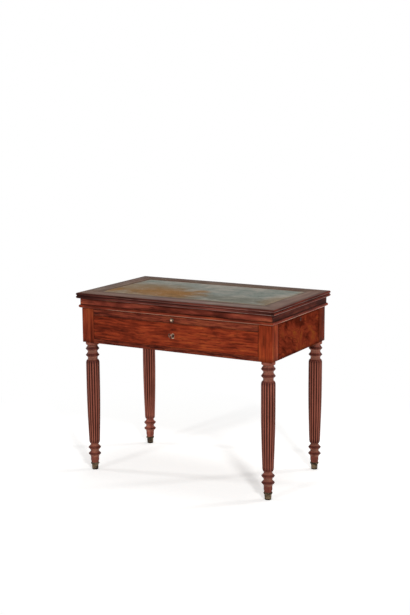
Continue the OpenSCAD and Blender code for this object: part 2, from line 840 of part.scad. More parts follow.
// Border bar with a moulded edge of two beads
module top_bar(side) {
    bead = top_thickness / 4;
    mitred_bar(side, top_half_x, top_half_y, border_width, slab_z, top_thickness)
        union() {
            translate([-border_width - over, 0]) square([border_width + over - bead, top_thickness]);
            translate([-bead - over, bead]) square([bead + over - quirk_depth, 2 * bead]);
            for (v = [bead, 3 * bead]) translate([-bead, v]) circle(bead);
        }
}

module top_rail_front() {
    color("#5e2a1e") difference() {
        top_bar(0);
        hinge_pocket(slab_z);
    }
}

module top_panel() {
    color("#7a4a2a")
        block(border_width - top_half_x, top_half_x - border_width, border_width - top_half_y,
              top_half_y - border_width, slab_z, table_height - leather_recess - leather_thickness);
}

module leather_lining() {
    color("#7f8a82")
        block(border_width - top_half_x, top_half_x - border_width, border_width - top_half_y,
              top_half_y - border_width, table_height - leather_recess - leather_thickness,
              table_height - leather_recess);
}

// Easel

module strut_cleats() {
    color("#8a6a44") both_sides() difference() {
        block(arm_in - slide_gap - cleat_width, arm_in - slide_gap, pivot_y - cleat_length / 2,
              pivot_y + cleat_length / 2, pivot_z - rod_r - 4, slab_z);
        rod_x(arm_in - cleat_width - 2, arm_in + over, pivot_y, pivot_z, rod_r + 0.02);
    }
}

module strut_pivot_rod() {
    color("#77746e") rod_x(-arm_out, arm_out, pivot_y, pivot_z, rod_r);
}

module strut_arms() {
    color("#7a3a1c") both_sides() difference() {
        union() {
            block(arm_in, arm_out, pivot_y, foot_y, pivot_z - strut_arm_thickness / 2,
                  pivot_z + strut_arm_thickness / 2);
            rod_x(arm_in, arm_out, pivot_y, pivot_z, strut_arm_thickness / 2);
            rod_x(arm_in, arm_out, foot_y, pivot_z, strut_arm_thickness / 2);
        }
        rod_x(arm_in - over, arm_out + over, pivot_y, pivot_z, rod_r + turn_gap);
        rod_x(arm_in - over, arm_out + over, foot_y, pivot_z, rod_r + 0.02);
    }
}

module strut_cross_rail() {
    color("#7a3a1c") block(-arm_in, arm_in, cross_rail_y, cross_rail_y + cross_rail_width,
        pivot_z - strut_arm_thickness / 2, pivot_z + strut_arm_thickness / 2);
}

module strut_foot_rod() {
    color("#77746e") rod_x(-rod_half, rod_half, foot_y, pivot_z, rod_r);
}

// Writing slide

module slide_board() {
    color("#8a5a34") block(-drawer_side_x, drawer_side_x, -half_y + slide_front_thickness, board_back,
        board_z, board_top);
}

module slide_front() {
    color("#8a3a1c") difference() {
        block(-front_half, front_half, -half_y, -half_y + slide_front_thickness, slide_front_z,
              slide_front_top);
        rod_y(-half_y - over, -half_y + knob_stem_length + 0.5, 0, knob_hole_z,
              knob_stem_r + 0.02);
    }
}

module slide_knob() {
    r = knob_diameter / 2;
    color("#b08a3c") translate([0, -half_y, knob_hole_z]) rotate([90, 0, 0]) {
        rotate_extrude() polygon([[0, -knob_stem_length],
            [knob_stem_r, -knob_stem_length], [knob_stem_r, 0], [r * 0.72, 0],
            [r * 0.72, 1.4], [r * 0.42, 2.6], [r * 0.38, knob_projection * 0.4],
            [r * 0.86, knob_projection * 0.55], [r, knob_projection * 0.72],
            [r * 0.9, knob_projection * 0.88], [r * 0.5, knob_projection * 0.98],
            [0, knob_projection]]);
    }
}

// Drawer

module keyhole_shape() {
    circle(key_r + keyhole_gap);
    translate([-bit_thickness / 2 - keyhole_gap, -bit_length - keyhole_gap])
        square([bit_thickness + 2 * keyhole_gap, bit_length + keyhole_gap]);
}

module escutcheon_outline(gap) {
    circle(escutcheon_r - gap);
    translate([gap - escutcheon_half, gap - escutcheon_drop])
        square([2 * (escutcheon_half - gap), escutcheon_drop - gap]);
}

module drawer_front() {
    color("#8a3a1c") difference() {
        union() {
            block(-front_half, front_half, -half_y, -half_y + drawer_front_thickness,
                  drawer_front_z, lip_z);
            block(-front_half, front_half, -half_y, -half_y + drawer_lip, lip_z - over,
                  drawer_front_top);
        }
        block(-lock_width / 2 - seat_gap, lock_width / 2 + seat_gap, lock_front - seat_gap,
              lock_back + over, lock_z - seat_gap, lock_top + over);
        translate([0, -half_y + drawer_front_thickness, key_z]) rotate([90, 0, 0])
            linear_extrude(drawer_front_thickness + over) keyhole_shape();
        translate([0, -half_y + escutcheon_thickness, key_z]) rotate([90, 0, 0])
            linear_extrude(escutcheon_thickness + over) escutcheon_outline(0);
        block(-drawer_side_x + drawer_wall - bottom_groove, drawer_side_x - drawer_wall + bottom_groove,
              -half_y + drawer_front_thickness - bottom_groove - seat_gap,
              -half_y + drawer_front_thickness + over, bottom_z - seat_gap,
              bottom_z + drawer_bottom_thickness + seat_gap);
    }
}

module drawer_sides() {
    color("#a9825a") both_sides() difference() {
        block(drawer_side_x - drawer_wall, drawer_side_x, -half_y + drawer_front_thickness,
              drawer_back_y, drawer_floor, drawer_side_top);
        block(drawer_side_x - drawer_wall - over, drawer_side_x - drawer_wall + bottom_groove + seat_gap,
              -half_y, drawer_back_y + over, bottom_z - seat_gap,
              bottom_z + drawer_bottom_thickness + seat_gap);
    }
}

module drawer_back() {
    color("#a9825a") block(-drawer_side_x + drawer_wall, drawer_side_x - drawer_wall,
        drawer_back_y - drawer_wall, drawer_back_y, bottom_z + drawer_bottom_thickness + seat_gap,
        drawer_side_top);
}

module drawer_bottom() {
    reach = drawer_side_x - drawer_wall + bottom_groove;
    color("#b08c62") block(-reach, reach, -half_y + drawer_front_thickness - bottom_groove,
        drawer_back_y, bottom_z, bottom_z + drawer_bottom_thickness);
}

module keyhole_escutcheon() {
    color("#8f7a46") difference() {
        translate([0, -half_y + escutcheon_thickness, key_z]) rotate([90, 0, 0])
            linear_extrude(escutcheon_thickness) escutcheon_outline(turn_gap);
        translate([0, -half_y + escutcheon_thickness + over, key_z]) rotate([90, 0, 0])
            linear_extrude(escutcheon_thickness + 2 * over) keyhole_shape();
    }
}

module lock_case() {
    color("#8f7a46") difference() {
        block(-lock_width / 2, lock_width / 2, lock_front, lock_back, lock_z, lock_top);
        block(-lock_width / 2 + 4, lock_width / 2 - 4, lock_front + lock_wall,
              lock_back - lock_wall, lock_z + 4, lock_top - 2);
        block(-bolt_width / 2 - slide_gap, bolt_width / 2 + slide_gap, bolt_y - slide_gap,
              bolt_y + bolt_thickness + slide_gap, lock_top - 3, lock_top + over);
        translate([0, lock_front + lock_wall + over, key_z]) rotate([90, 0, 0])
            linear_extrude(lock_wall + 2 * over) keyhole_shape();
    }
}

module lock_bolt() {
    color("#77746e") block(-bolt_width / 2, bolt_width / 2, bolt_y, bolt_y + bolt_thickness,
        bolt_bottom, lock_top - slide_gap);
}

// Key: a ring bow, a collared shank and a bit, the bow leaning as it hangs in the lock
module key() {
    front = -half_y - key_reach;
    bow_r = bow_length / 2;
    color("#7d7468") translate([0, 0, key_z]) rotate([0, -key_lean, 0]) {
        rod_y(front + bow_length - 2.5, lock_back - 2, 0, 0, key_r);
        rod_y(front + bow_length, front + bow_length + 2.4, 0, 0, key_r + 1.4);
        block(-bit_thickness / 2, bit_thickness / 2, lock_front + lock_wall + 1.3, lock_back - 2.4,
              -bit_length, 0);
        translate([-bow_thickness / 2, front + bow_r, 0]) rotate([90, 0, 90])
            linear_extrude(bow_thickness) difference() {
                union() {
                    for (s = [-1, 1]) translate([0, s * (bow_height / 2 - bow_r)]) circle(bow_r);
                }
                for (s = [-1, 1]) translate([0, s * (bow_height / 2 - bow_r + 0.6)])
                    circle(bow_r - bow_bar);
            }
    }
}

leg(-1, -1);  // leg_front_left
leg(1, -1);  // leg_front_right
leg(-1, 1);  // leg_back_left
leg(1, 1);  // leg_back_right
foot_caps();
apron_left();
apron_right();
apron_back();
front_rail();
divider_rail();
moulding(0);  // moulding_front
moulding(1);  // moulding_right
moulding(2);  // moulding_back
moulding(3);  // moulding_left
drawer_runners();
slide_runners();
post_guides();
shaft_bearings();
crank_escutcheon();
pawl_stud();
lift_frame_front();
lift_frame_side(1);  // lift_frame_right
lift_frame_back();
lift_frame_side(3);  // lift_frame_left
color("#8a5a34") on_left() lift_post();  // lift_post_left
color("#8a5a34") lift_post();  // lift_post_right
color("#77746e") on_left() rack();  // rack_left
color("#77746e") rack();  // rack_right
rack_screws();
notch_strips();
hinge_lower_leaves();
lift_shaft();
pinions();
ratchet_wheel();
pawl();
top_rail_front();
color("#5e2a1e") top_bar(1);  // top_rail_right
color("#5e2a1e") top_bar(2);  // top_rail_back
color("#5e2a1e") top_bar(3);  // top_rail_left
top_panel();
leather_lining();
hinge_upper_leaves();
hinge_pins();
strut_cleats();
strut_pivot_rod();
strut_arms();
strut_cross_rail();
strut_foot_rod();
slide_board();
slide_front();
slide_knob();
drawer_front();
drawer_sides();
drawer_back();
drawer_bottom();
keyhole_escutcheon();
lock_case();
lock_bolt();
key();
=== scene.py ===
"""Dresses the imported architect's table: turned and reeded mahogany legs, figured
wood, a worn leather lining, aged brass and iron, and a pale studio floor."""

import math

import bpy
import numpy as np
from mathutils import Matrix, Vector


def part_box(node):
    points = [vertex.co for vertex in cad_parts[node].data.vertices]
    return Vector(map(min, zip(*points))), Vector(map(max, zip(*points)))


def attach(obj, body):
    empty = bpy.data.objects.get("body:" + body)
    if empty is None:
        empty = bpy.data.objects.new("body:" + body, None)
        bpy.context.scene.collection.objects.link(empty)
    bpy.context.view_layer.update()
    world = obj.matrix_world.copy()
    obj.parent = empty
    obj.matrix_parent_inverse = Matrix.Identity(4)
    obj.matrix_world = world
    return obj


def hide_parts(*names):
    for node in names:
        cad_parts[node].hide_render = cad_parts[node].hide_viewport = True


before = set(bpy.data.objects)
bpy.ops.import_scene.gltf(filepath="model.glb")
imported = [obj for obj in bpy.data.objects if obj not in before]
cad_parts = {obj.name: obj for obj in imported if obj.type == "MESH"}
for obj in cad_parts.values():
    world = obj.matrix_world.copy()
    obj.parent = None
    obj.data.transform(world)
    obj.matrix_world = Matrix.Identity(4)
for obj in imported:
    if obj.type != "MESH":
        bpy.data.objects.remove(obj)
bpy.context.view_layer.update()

bl_info = {
    "name": "Architect's Table",
    "version": (1, 0, 0),
    "blender": (4, 5, 0),
    "location": "View3D > Sidebar > Table",
    "description": "Builds the looks of a rising and tilting mahogany table",
    "category": "Object",
}

MM = 0.001

# Points round a small turned piece, and steps along a mitred bar
AROUND, ALONG = 64, 40
LEGS = ("front_left", "back_left", "front_right", "back_right")
# Radius in mm of a leg's shaft at its thin lower end and at its thick upper end
THIN, THICK = 22.85, 28.5
# Heights on a leg between which it is reeded, and the height where its square post begins
REED_LOW, REED_HIGH, POST_FOOT = 0.1125, 0.4835, 0.5595
# Height of the key's axis, and how far the key hangs out of the upright, in degrees
KEY_AXIS, KEY_LEAN = 0.6285, 25
WARM_WHITE = (1.0, 0.985, 0.96)

# How the streaks, the mottling and the veins of each look are drawn out: their scale
# along and across the grain, their detail and roughness, and a shift along the grain
FIGURES = {
    "swirled": ((10.0, 30.0, 4.0, 0.6), (12.0, 9.0, 2.0), (7.0, 24.0, 2.0, 0.5, 2.0)),
    "streaked": ((10.0, 125.0, 4.0, 0.6), (20.0, 30.0, 3.0), (5.0, 52.0, 3.0, 0.5, 2.0)),
    "straight": ((2.6, 70.0, 3.0, 0.6), (9.0, 26.0, 2.0), (1.8, 44.0, 2.0, 0.5, 2.0)),
}


# Colours and nodes

def linear(code):
    """Linear red, green and blue of a six-digit screen colour."""
    c = np.array([int(code[i:i + 2], 16) for i in (1, 3, 5)]) / 255.0
    return tuple(float(v) for v in np.where(c <= 0.04045, c / 12.92, ((c + 0.055) / 1.055) ** 2.4))


def rgba(colour):
    """Linear colour with alpha, from a six-digit screen colour or three linear numbers."""
    return (*(linear(colour) if isinstance(colour, str) else colour), 1.0)


def math_method(operation, reflected=False):
    """A method that puts a Value, and another one if given, through a Math node. Where it
    is reflected, the other one goes first."""
    def method(self, *other):
        terms = (*other, self) if reflected else (self, *other)
        return self.nodes.node("Math", dict(enumerate(terms)), operation=operation)
    return method


class Value:
    """A number or colour that varies over a surface. Arithmetic on it adds Math nodes."""

    def __init__(self, nodes, socket):
        self.nodes, self.socket = nodes, socket

    __add__ = __radd__ = math_method("ADD")
    __mul__ = __rmul__ = math_method("MULTIPLY")
    __sub__, __rsub__ = math_method("SUBTRACT"), math_method("SUBTRACT", reflected=True)
    __truediv__, __rtruediv__ = math_method("DIVIDE"), math_method("DIVIDE", reflected=True)
    __pow__, __rpow__ = math_method("POWER"), math_method("POWER", reflected=True)
    least = math_method("MINIMUM")
    most = math_method("MAXIMUM")
    size = math_method("ABSOLUTE")

    def step(self, low, high):
        """0 at low and below, 1 at high and above, and smooth between; low may be the larger."""
        inputs = {"Value": self, "From Min": low, "From Max": high, "To Min": 0.0, "To Max": 1.0}
        return self.nodes.node("MapRange", inputs, interpolation_type="SMOOTHSTEP")


class Nodes:
    """A tree of shader nodes."""

    def __init__(self, tree):
        self.tree = tree

    def node(self, kind, inputs, output=0, stops=(), **settings):
        """Adds a node, sets it and its ramp's stops, feeds its sockets, and gives one output,
        if it has any, as a Value."""
        made = self.tree.nodes.new("ShaderNode" + kind)
        for key, value in settings.items():
            setattr(made, key, value)
        if stops:
            elements = made.color_ramp.elements
            while len(elements) < len(stops):
                elements.new(0.5)
            places, colours = zip(*stops)
            for element, place in zip(elements, places):
                element.position = place
            for element, colour in zip(elements, colours):
                element.color = rgba(colour)
        for key, value in inputs.items():
            self.feed(made.inputs[key], value)
        return Value(self, made.outputs[output]) if made.outputs else None

    def feed(self, socket, value):
        """Links a Value to a socket, or sets the socket to a number or a colour."""
        if isinstance(value, Value):
            self.tree.links.new(value.socket, socket)
        else:
            socket.default_value = rgba(value) if socket.type == "RGBA" else value

    def seen(self):
        """1 for rays that show a thing, directly, mirrored or through glass, and 0 for others."""
        camera, glossy, through = (self.node("LightPath", {}, f"Is {kind} Ray")
                                   for kind in ("Camera", "Glossy", "Transmission"))
        return camera.most(glossy).most(through)


class Finish(Nodes):
    """A material, with the object's own coordinates at hand as x, y and z."""

    def __init__(self, name, **constants):
        self.material = bpy.data.materials.new(name)
        self.material.use_nodes = True
        super().__init__(self.material.node_tree)
        self.shader = self.tree.nodes["Principled BSDF"]
        self.done(**constants)
        split = self.node("SeparateXYZ", {0: self.node("TexCoord", {}, "Object")}).socket.node
        self.x, self.y, self.z = (Value(self, socket) for socket in split.outputs)

    def join(self, a, b, c):
        return self.node("CombineXYZ", {0: a, 1: b, 2: c})

    def noise(self, a, b, c, detail=2.0, rough=0.5):
        return self.node("TexNoise", {"Vector": self.join(a, b, c), "Scale": 1.0,
                                      "Detail": detail, "Roughness": rough})

    def along(self, grain):
        """Coordinates along the grain and across it, for grain along X, Y or Z."""
        x, y, z = self.x, self.y, self.z
        return {"X": (x, y, z), "Y": (y, x, z), "Z": (z, x, y)}[grain]

    def grained(self, axes, along, across, detail=2.0, rough=0.5, shift=0.0):
        """Noise at one scale along the first of three axes and another along the others."""
        a, b, c = axes
        a = a * along
        if shift:
            a = a + shift
        return self.noise(a, b * across, c * across, detail, rough)

    def cells(self, a, b, c):
        return self.node("TexVoronoi", {"Vector": self.join(a, b, c), "Scale": 1.0}, "Distance")

    def ramp(self, value, *stops):
        """A colour for a number, from stops that each give a number and its colour."""
        return self.node("ValToRGB", {0: value}, stops=stops)

    def blend(self, factor, first, second):
        return self.node("Mix", {0: factor, 6: first, 7: second}, 2, data_type="RGBA")

    def layers(self, colour, *coats):
        """Lays coats over a colour, each given by how far it covers and its own colour."""
        for cover, over in coats:
            colour = self.blend(cover, colour, over)
        return colour

    def marks(self):
        """Marks that the mesh stores: on wood 1 is painted shade and -1 a painted highlight on a flank; on
        metal the marks darken the caps' hollows with soiling and the knob's rim and stem with painted
        shade.
        """
        return self.node("Attribute", {}, "Fac", attribute_name="recess")

    def bump(self, height, depth, strength):
        return self.node("Bump", {"Strength": strength, "Distance": depth, "Height": height})

    def done(self, **links):
        """Feeds the shader's sockets and gives the material."""
        for socket, value in links.items():
            self.feed(self.shader.inputs[socket.replace("_", " ")], value)
        return self.material


def face_distances(finish, box, axes):
    """Distance to the nearer of a box's two faces across each of the named axes."""
    found = []
    for axis, low, high in zip(axes, *box):
        half, mid = (high - low) / 2, (high + low) / 2
        found.append(half - (getattr(finish, axis) - mid).size())
    return found


def edge_distance(finish, box):
    """Distance over a box's face to its nearest edge: the middle one of the three
    distances to the nearest faces, because the smallest is nought on a face."""
    a, b, c = face_distances(finish, box, "xyz")
    return a.least(b).most(a.most(b).least(c))


# Finishes

def mahogany(looks, name, grain, look, shade, seed, box=None, recess=False, wear=1.0,
             light=None, gloss=0.32, shine=0.03, pale=0.0, lean=0.0, grime_and_shade_width=0.005, foot=None,
             hollow=(0.30, 0.95), figure=1.0):
    """French-polished mahogany. grain is the axis that the fibres follow, look is
    straight, streaked or swirled, shade is the wood's shade and coolness, and light
    another lightest tone, which also colours the painted highlights on crowns. box is
    the piece's box, if its edges are darkened and worn pale, recess tells that its mesh
    stores marks, and wear is a share of the user's wear. pale is the strength of the
    painted highlight on flanks marked -1, lean how much lighter the wood is painted
    towards +X, a painted fall of light, grime_and_shade_width the width of the dark
    band along the edges, partly soiling and partly painted shade in gaps and under
    mouldings, foot a height below which the wood turns darker, hollow where marks
    turn to painted shade, and figure how strong the wood's markings are."""
    f = Finish("mahogany_" + name, Specular_IOR_Level=shine)
    dark, deep, red, lightest = tones(looks, *shade)
    light = light or lightest
    wear = wear * looks.wear
    a, b, c = f.along(grain)
    a = a + seed
    if look == "swirled":
        u = f.noise(a * 5.0, b * 5.0, c * 5.0 + 3.1, 3.0, 0.55) - 0.5
        v = f.noise(a * 5.0 + 7.7, b * 5.0, c * 5.0, 3.0, 0.55) - 0.5
        wood = a + u * 0.26, b + v * 0.26, c + v * 0.26 + u * 0.1 + a * 0.35
    else:
        drift = f.grained((a, b, c), 2.4, 5.0, 3.0) - 0.5
        drift = drift * (0.045 if look == "streaked" else 0.02)
        wood = a, b + drift, c + drift
    streak, mottle, vein = (f.grained(wood, *drawn) for drawn in FIGURES[look])
    fibre = f.grained(wood, 22.0, 520.0)
    pores = f.grained(wood, 60.0, 1500.0, 1.0)
    cloud = f.grained(wood, 1.9, 4.0, shift=4.0)
    blotch = 0.35 if look == "streaked" else 0.65
    tone = (streak - 0.5) * (1.4 - blotch) + (mottle - 0.5) * blotch + (cloud - 0.5) * 0.35
    tone = tone * figure + 0.5
    # lean paints light: the wood turns lighter towards +X
    if lean:
        tone = tone + f.x * lean
    colour = f.ramp(tone, *zip((0.22, 0.38, 0.52, 0.70), (dark, deep, red, light)))
    veins = (vein - 0.5).size().step(0.030, 0.004) * (0.45 * figure)
    lines = (fibre.step(0.58, 0.38) * 0.28 + pores.step(0.62, 0.70) * 0.35 + veins).least(0.8)
    colour = f.blend(lines, colour, dark)
    rough = f.grained(wood, 6.0, 20.0) * 0.16 + (gloss - 0.08)
    if box is not None:
        edge = edge_distance(f, box)
        # Along the edges a dark band, partly soiling and partly painted shade in the gaps between parts and
        # under mouldings, and wear on the edges themselves
        grime_and_shade = edge.step(grime_and_shade_width, 0.0008) * (0.35 + f.grained(wood, 12.0, 60.0) * 0.5)
        wear_and_highlight = edge.step(0.0016, 0.0004) * f.grained(wood, 30.0, 90.0, 3.0).step(0.50, 0.64)
        colour = f.layers(colour, (grime_and_shade, dark), (wear_and_highlight * (0.6 * wear), light))
    if foot is not None:
        colour = f.blend(f.z.step(foot + 0.022, foot + 0.002) * 0.5, colour, dark)
    if recess:
        low = f.marks()
        # Marks paint light and shade: dark marks are painted shade, crowns get a painted highlight in the
        # lightest tone, and flanks marked -1 a pale painted highlight
        crown = low.step(0.16, 0.0) * low.step(-0.3, 0.0) * (0.2 + f.grained(wood, 9.0, 60.0) * 0.7)
        wear_and_highlight = low.step(-0.35, -0.95) * f.grained(wood, 8.0, 30.0, 3.0).step(0.30, 0.56)
        colour = f.layers(colour, (low.step(*hollow) * 0.85, dark), (crown * wear, light),
                          (wear_and_highlight * (pale * looks.wear), "#d8a48a"))
        rough = rough + low.most(0.0) * 0.2
    chips = f.cells(f.x * 24.0, f.y * 24.0, f.z * 24.0 + seed).step(0.055, 0.02)
    colour = f.blend(chips * 0.5 * wear, colour, dark)
    return f.done(Base_Color=colour, Roughness=rough,
                  Normal=f.bump(streak * 0.3 - lines * 0.6, 0.0003, 0.4))


def oak(grain, seed):
    """Bare planed oak of the drawer's inside and the hidden rails, dusty with age."""
    f = Finish("oak_" + grain.lower(), Specular_IOR_Level=0.2)
    a, b, c = f.along(grain)
    a = a + seed
    drift = (f.grained((a, b, c), 2.0, 4.0) - 0.5) * 0.03
    rings = f.grained((a, b + drift, c + drift), 1.8, 80.0, 3.0, 0.6)
    flecks = f.grained((a, b, c), 26.0, 420.0, 1.0)
    dust = f.noise(f.x * 7.0, f.y * 7.0, f.z * 7.0 + seed, 3.0).step(0.45, 0.75) * 0.35
    colour = f.ramp(rings, (0.3, "#6a472b"), (0.5, "#92693f"), (0.72, "#aa8056"))
    colour = f.layers(colour, (flecks.step(0.58, 0.68) * 0.6, "#4c3219"), (dust, "#4a3524"))
    return f.done(Base_Color=colour, Roughness=flecks * 0.2 + 0.6,
                  Normal=f.bump(flecks * -1.0 + rings * 0.5, 0.0004, 0.5))


def metal(name, bright, dull, dirt_and_shade, roughness, seed, tarnish=0.5, recess=False):
    """Aged metal: clouded bright and dull, with tarnish in patches. recess tells that
    its mesh stores marks, where it turns dark: soiling in the caps' hollows, and painted shade round the
    knob's rim and stem."""
    f = Finish(name, Specular_IOR_Level=0.1)
    cloud = f.grained((f.x, f.y, f.z), 60.0, 60.0, 4.0, 0.62, seed)
    speck = f.noise(f.x * 420.0, f.y * 420.0 + seed, f.z * 420.0)
    dark = cloud.step(tarnish + 0.12, tarnish - 0.14)
    colour = f.layers(dull, (cloud.step(0.35, 0.65), bright), (dark * 0.75, dirt_and_shade))
    rough = roughness + dark * 0.22 + speck * 0.12
    metallic = 1.0 - dark * 0.35
    if recess:
        low = f.marks().step(0.3, 0.9)
        colour = f.blend(low * 0.85, colour, dirt_and_shade)
        rough = rough + low * 0.2
        metallic = metallic * (1.0 - low * 0.7)
    return f.done(Base_Color=colour, Metallic=metallic, Roughness=rough,
                  Normal=f.bump(speck + cloud * 2.0, 0.0003, 0.35))


def leather(looks, box):
    """Tooled writing leather: grey-green, rubbed to ochre where the arms rest, with
    a gilt line round its edge, a finely pebbled grain and darker stains."""
    f = Finish("leather_worn_green", Specular_IOR_Level=0.03)
    beside_x, beside_y = face_distances(f, box, "xy")
    edge = beside_x.least(beside_y)
    broad = f.noise(f.x * 5.0, f.y * 8.0, f.z, 4.0, 0.6)
    middle = f.noise(f.x * 17.0 + 3.0, f.y * 26.0, f.z, 5.0, 0.66)
    fine = f.noise(f.x * 70.0, f.y * 110.0, f.z * 60.0, 4.0, 0.66)
    grain = f.cells(f.x * 900.0, f.y * 900.0, f.z * 900.0)

    def spot(x, y, wide, deep, ragged):
        """1 at a point of the leather and 0 outside an ellipse with a ragged edge."""
        u, v = (f.x - x) / wide, (f.y - y) / deep
        return (u * u + v * v + (middle - 0.5) * ragged + (broad - 0.5) * ragged).step(1.7, -0.1)

    teal = spot(0.03, -0.06, 0.13, 0.05, 2.4)
    shade = spot(0.20, -0.115, 0.27, 0.070, 2.6).most(spot(0.02, -0.165, 0.12, 0.040, 2.2))
    tan = spot(-0.27, -0.08, 0.25, 0.17, 2.0).most(spot(0.37, -0.06, 0.06, 0.12, 2.0) * 0.7)
    patch = spot(-0.125, -0.105, 0.18, 0.10, 2.2).most(spot(-0.375, -0.12, 0.05, 0.055, 2.0) * 0.9)
    patch = patch.most(spot(-0.01, -0.005, 0.045, 0.035, 2.4) * 0.8)
    band = f.y.step(-0.165, -0.187) * f.x.step(-0.15, -0.05)
    rubbed = fine.step(0.54, 0.66) * middle.step(0.46, 0.60)
    worn = fine.step(0.46, 0.34) * middle.step(0.54, 0.42)
    rim = edge.step(0.020, 0.002) * (0.4 + fine * 0.6)
    line = (edge - 0.009).size().step(0.0021, 0.0011) * fine.step(0.34, 0.52)
    colour = f.ramp(broad * 0.45 + middle * 0.35 + fine * 0.2, (0.36, "#60695f"), (0.45, "#757b75"),
                    (0.53, looks.leather_colour), (0.66, "#a29c94"))
    colour = f.layers(
        colour, (teal * 0.35, "#6b7a7a"), (shade * 0.8, "#5c5d52"), (tan * 0.8, "#7a5e3b"),
        ((patch * (0.45 + middle)).least(0.95), looks.leather_worn),
        (patch * middle.step(0.50, 0.38) * 0.45, "#57431f"),
        (patch * fine.step(0.54, 0.66) * 0.35, "#a07a45"), (band * 0.35, "#5f4f42"),
        (rubbed * 0.4, "#a39a8c"), (worn * 0.45, "#4b473a"), (rim * 0.75, "#6b5646"),
        (line * 0.6, "#a08458"))
    return f.done(Base_Color=colour, Roughness=0.52 + fine * 0.2 - line * 0.15,
                  Normal=f.bump(grain + fine * 2.0 + line * -1.5, 0.0003, 0.5))


def worn_border(grain, looks, sizes):
    """Border wood: its edge is dark and polished, with painted shade in the quirk and under the lower bead
    and painted highlights on the beads' flanks, and its upper face is worn to a greyish brown, darker at
    the outer edge and beside the leather."""
    half_x, half_y, inner, _, top = sizes
    dark, deep, red, light = tones(looks, 0.90, 0.8) if grain == "X" else tones(looks, 0.85, 0.25)
    f = Finish("mahogany_border_" + grain, Specular_IOR_Level=0.015)
    a, b, c = f.along(grain)
    drift = f.grained((a, b, c), 2.0, 5.0) - 0.5
    streak = f.grained((a, b + drift * 0.02, c), 3.0, 60.0, 3.0, 0.6)
    fibre = f.grained((a, b, c), 20.0, 480.0)
    cloud = f.noise(f.x * 9.0, f.y * 9.0, f.z, 4.0, 0.62)
    out = (half_x - f.x.size()).least(half_y - f.y.size())
    width = half_y - inner
    front = f.y.step(-0.17, -0.19)
    redder = f.noise(f.x * 4.0, f.y * 4.0 + 2.0, f.z, 3.0, 0.6).step(0.48, 0.66)
    near = f.y.step(-0.17, -0.24) * f.noise(f.x * 6.0, f.y * 6.0, f.z + 5.0, 3.0).step(0.46, 0.62)
    rim = out.step(0.024, 0.006) * (1.0 - front * 0.45)
    beside = (out - width).size().step(0.0075, 0.0015).most(front * out.step(0.038, 0.068))
    band = (out - (width - 0.016)).size().step(0.0050, 0.0020) * cloud.step(0.38, 0.55)
    face = f.ramp(streak * 0.45 + cloud * 0.35 + fibre * 0.2,
                  (0.36, "#51413b"), (0.50, "#705e55"), (0.64, "#8c7b70"))
    face = f.layers(
        face, (redder * 0.5, "#6f4a42"), (near * 0.4, "#6a4a4c"),
        (f.y.step(0.16, 0.22) * 0.55, "#4a3c33"), (f.x.step(-0.36, -0.40) * 0.25, "#4a3c33"),
        (f.x.step(0.36, 0.41) * 0.4, "#6b4638"), (rim * 0.6, "#402a28"), (beside * 0.65, "#43352c"),
        (front * f.x.step(-0.05, -0.25) * 0.35, "#6f4c38"), (band * 0.35, "#8c745c"))
    upper = f.z.step(top - 0.0012, top - 0.0002)
    low = f.marks()
    # Marked flanks of the beads get a painted highlight that grows towards +X, and marked hollows painted
    # shade
    highlight_by_x = f.x.step(0.10, 0.44) * 0.50 + f.x.step(-0.40, -0.10) * 0.32 + 0.10
    wear_and_highlight = low.step(-0.35, -0.95) * highlight_by_x * cloud.step(0.30, 0.55)
    colour = f.ramp(streak + (fibre - 0.5) * 0.3, (0.36, dark), (0.52, deep), (0.68, red), (0.85, light))
    colour = f.layers(colour, (upper, face), ((1.0 - upper) * f.x.step(-0.22, -0.44) * 0.75, dark),
                      (low.step(0.3, 0.9) * 0.85, dark), (wear_and_highlight * 0.8, "#b08a80"))
    rough = 0.28 + f.grained((a, b, c), 8.0, 30.0) * 0.14 + upper * 0.14 + low.most(0.0) * 0.15
    return f.done(Base_Color=colour, Roughness=rough,
                  Normal=f.bump(streak * 0.4 - fibre * 0.5, 0.0002, 0.4))


def keyhole_plate():
    """Brass keyhole plate, dark in its middle as painted shade about the keyhole, and worn pale round its
    rim.
    """
    low, high = corners("keyhole_escutcheon")
    f = Finish("brass_plate", Metallic=0.8)
    half_x, half_z = (high[0] - low[0]) / 2, (high[2] - low[2]) / 2
    u, v = f.x / half_x, (f.z - (low[2] + half_z)) / half_z
    rim = (u * u + v * v).step(0.42, 0.72)
    cloud = f.noise(f.x * 240.0, f.y * 240.0, f.z * 240.0, 3.0)
    brass = f.blend(cloud.step(0.3, 0.6), "#8c6e5a", "#c0a890")
    return f.done(Base_Color=f.blend(rim, "#3a2416", brass), Roughness=cloud * 0.2 + 0.3)


def floor_finish():
    """Matt floor that keeps soft shadows near the table. Where it is seen it also shines
    a little by itself, more so away from the table, so that it reads as plain white."""
    f = Finish("studio_floor", Roughness=0.9, Specular_IOR_Level=0.0, Base_Color=(0.97, 0.985, 1.0))
    far = (f.x * f.x + f.y * f.y) ** 0.5
    seen = f.seen()
    faint, white = (f.node("Emission", {"Color": (1.0, 1.0, 1.0), "Strength": strength})
                    for strength in (seen * 0.33, 1.0))
    near = f.node("AddShader", {0: Value(f, f.shader.outputs[0]), 1: faint})
    mix = f.node("MixShader", {0: seen * far.step(0.7, 1.6), 1: near, 2: white})
    f.feed(f.tree.nodes["Material Output"].inputs["Surface"], mix)
    return f.material


# Shapes

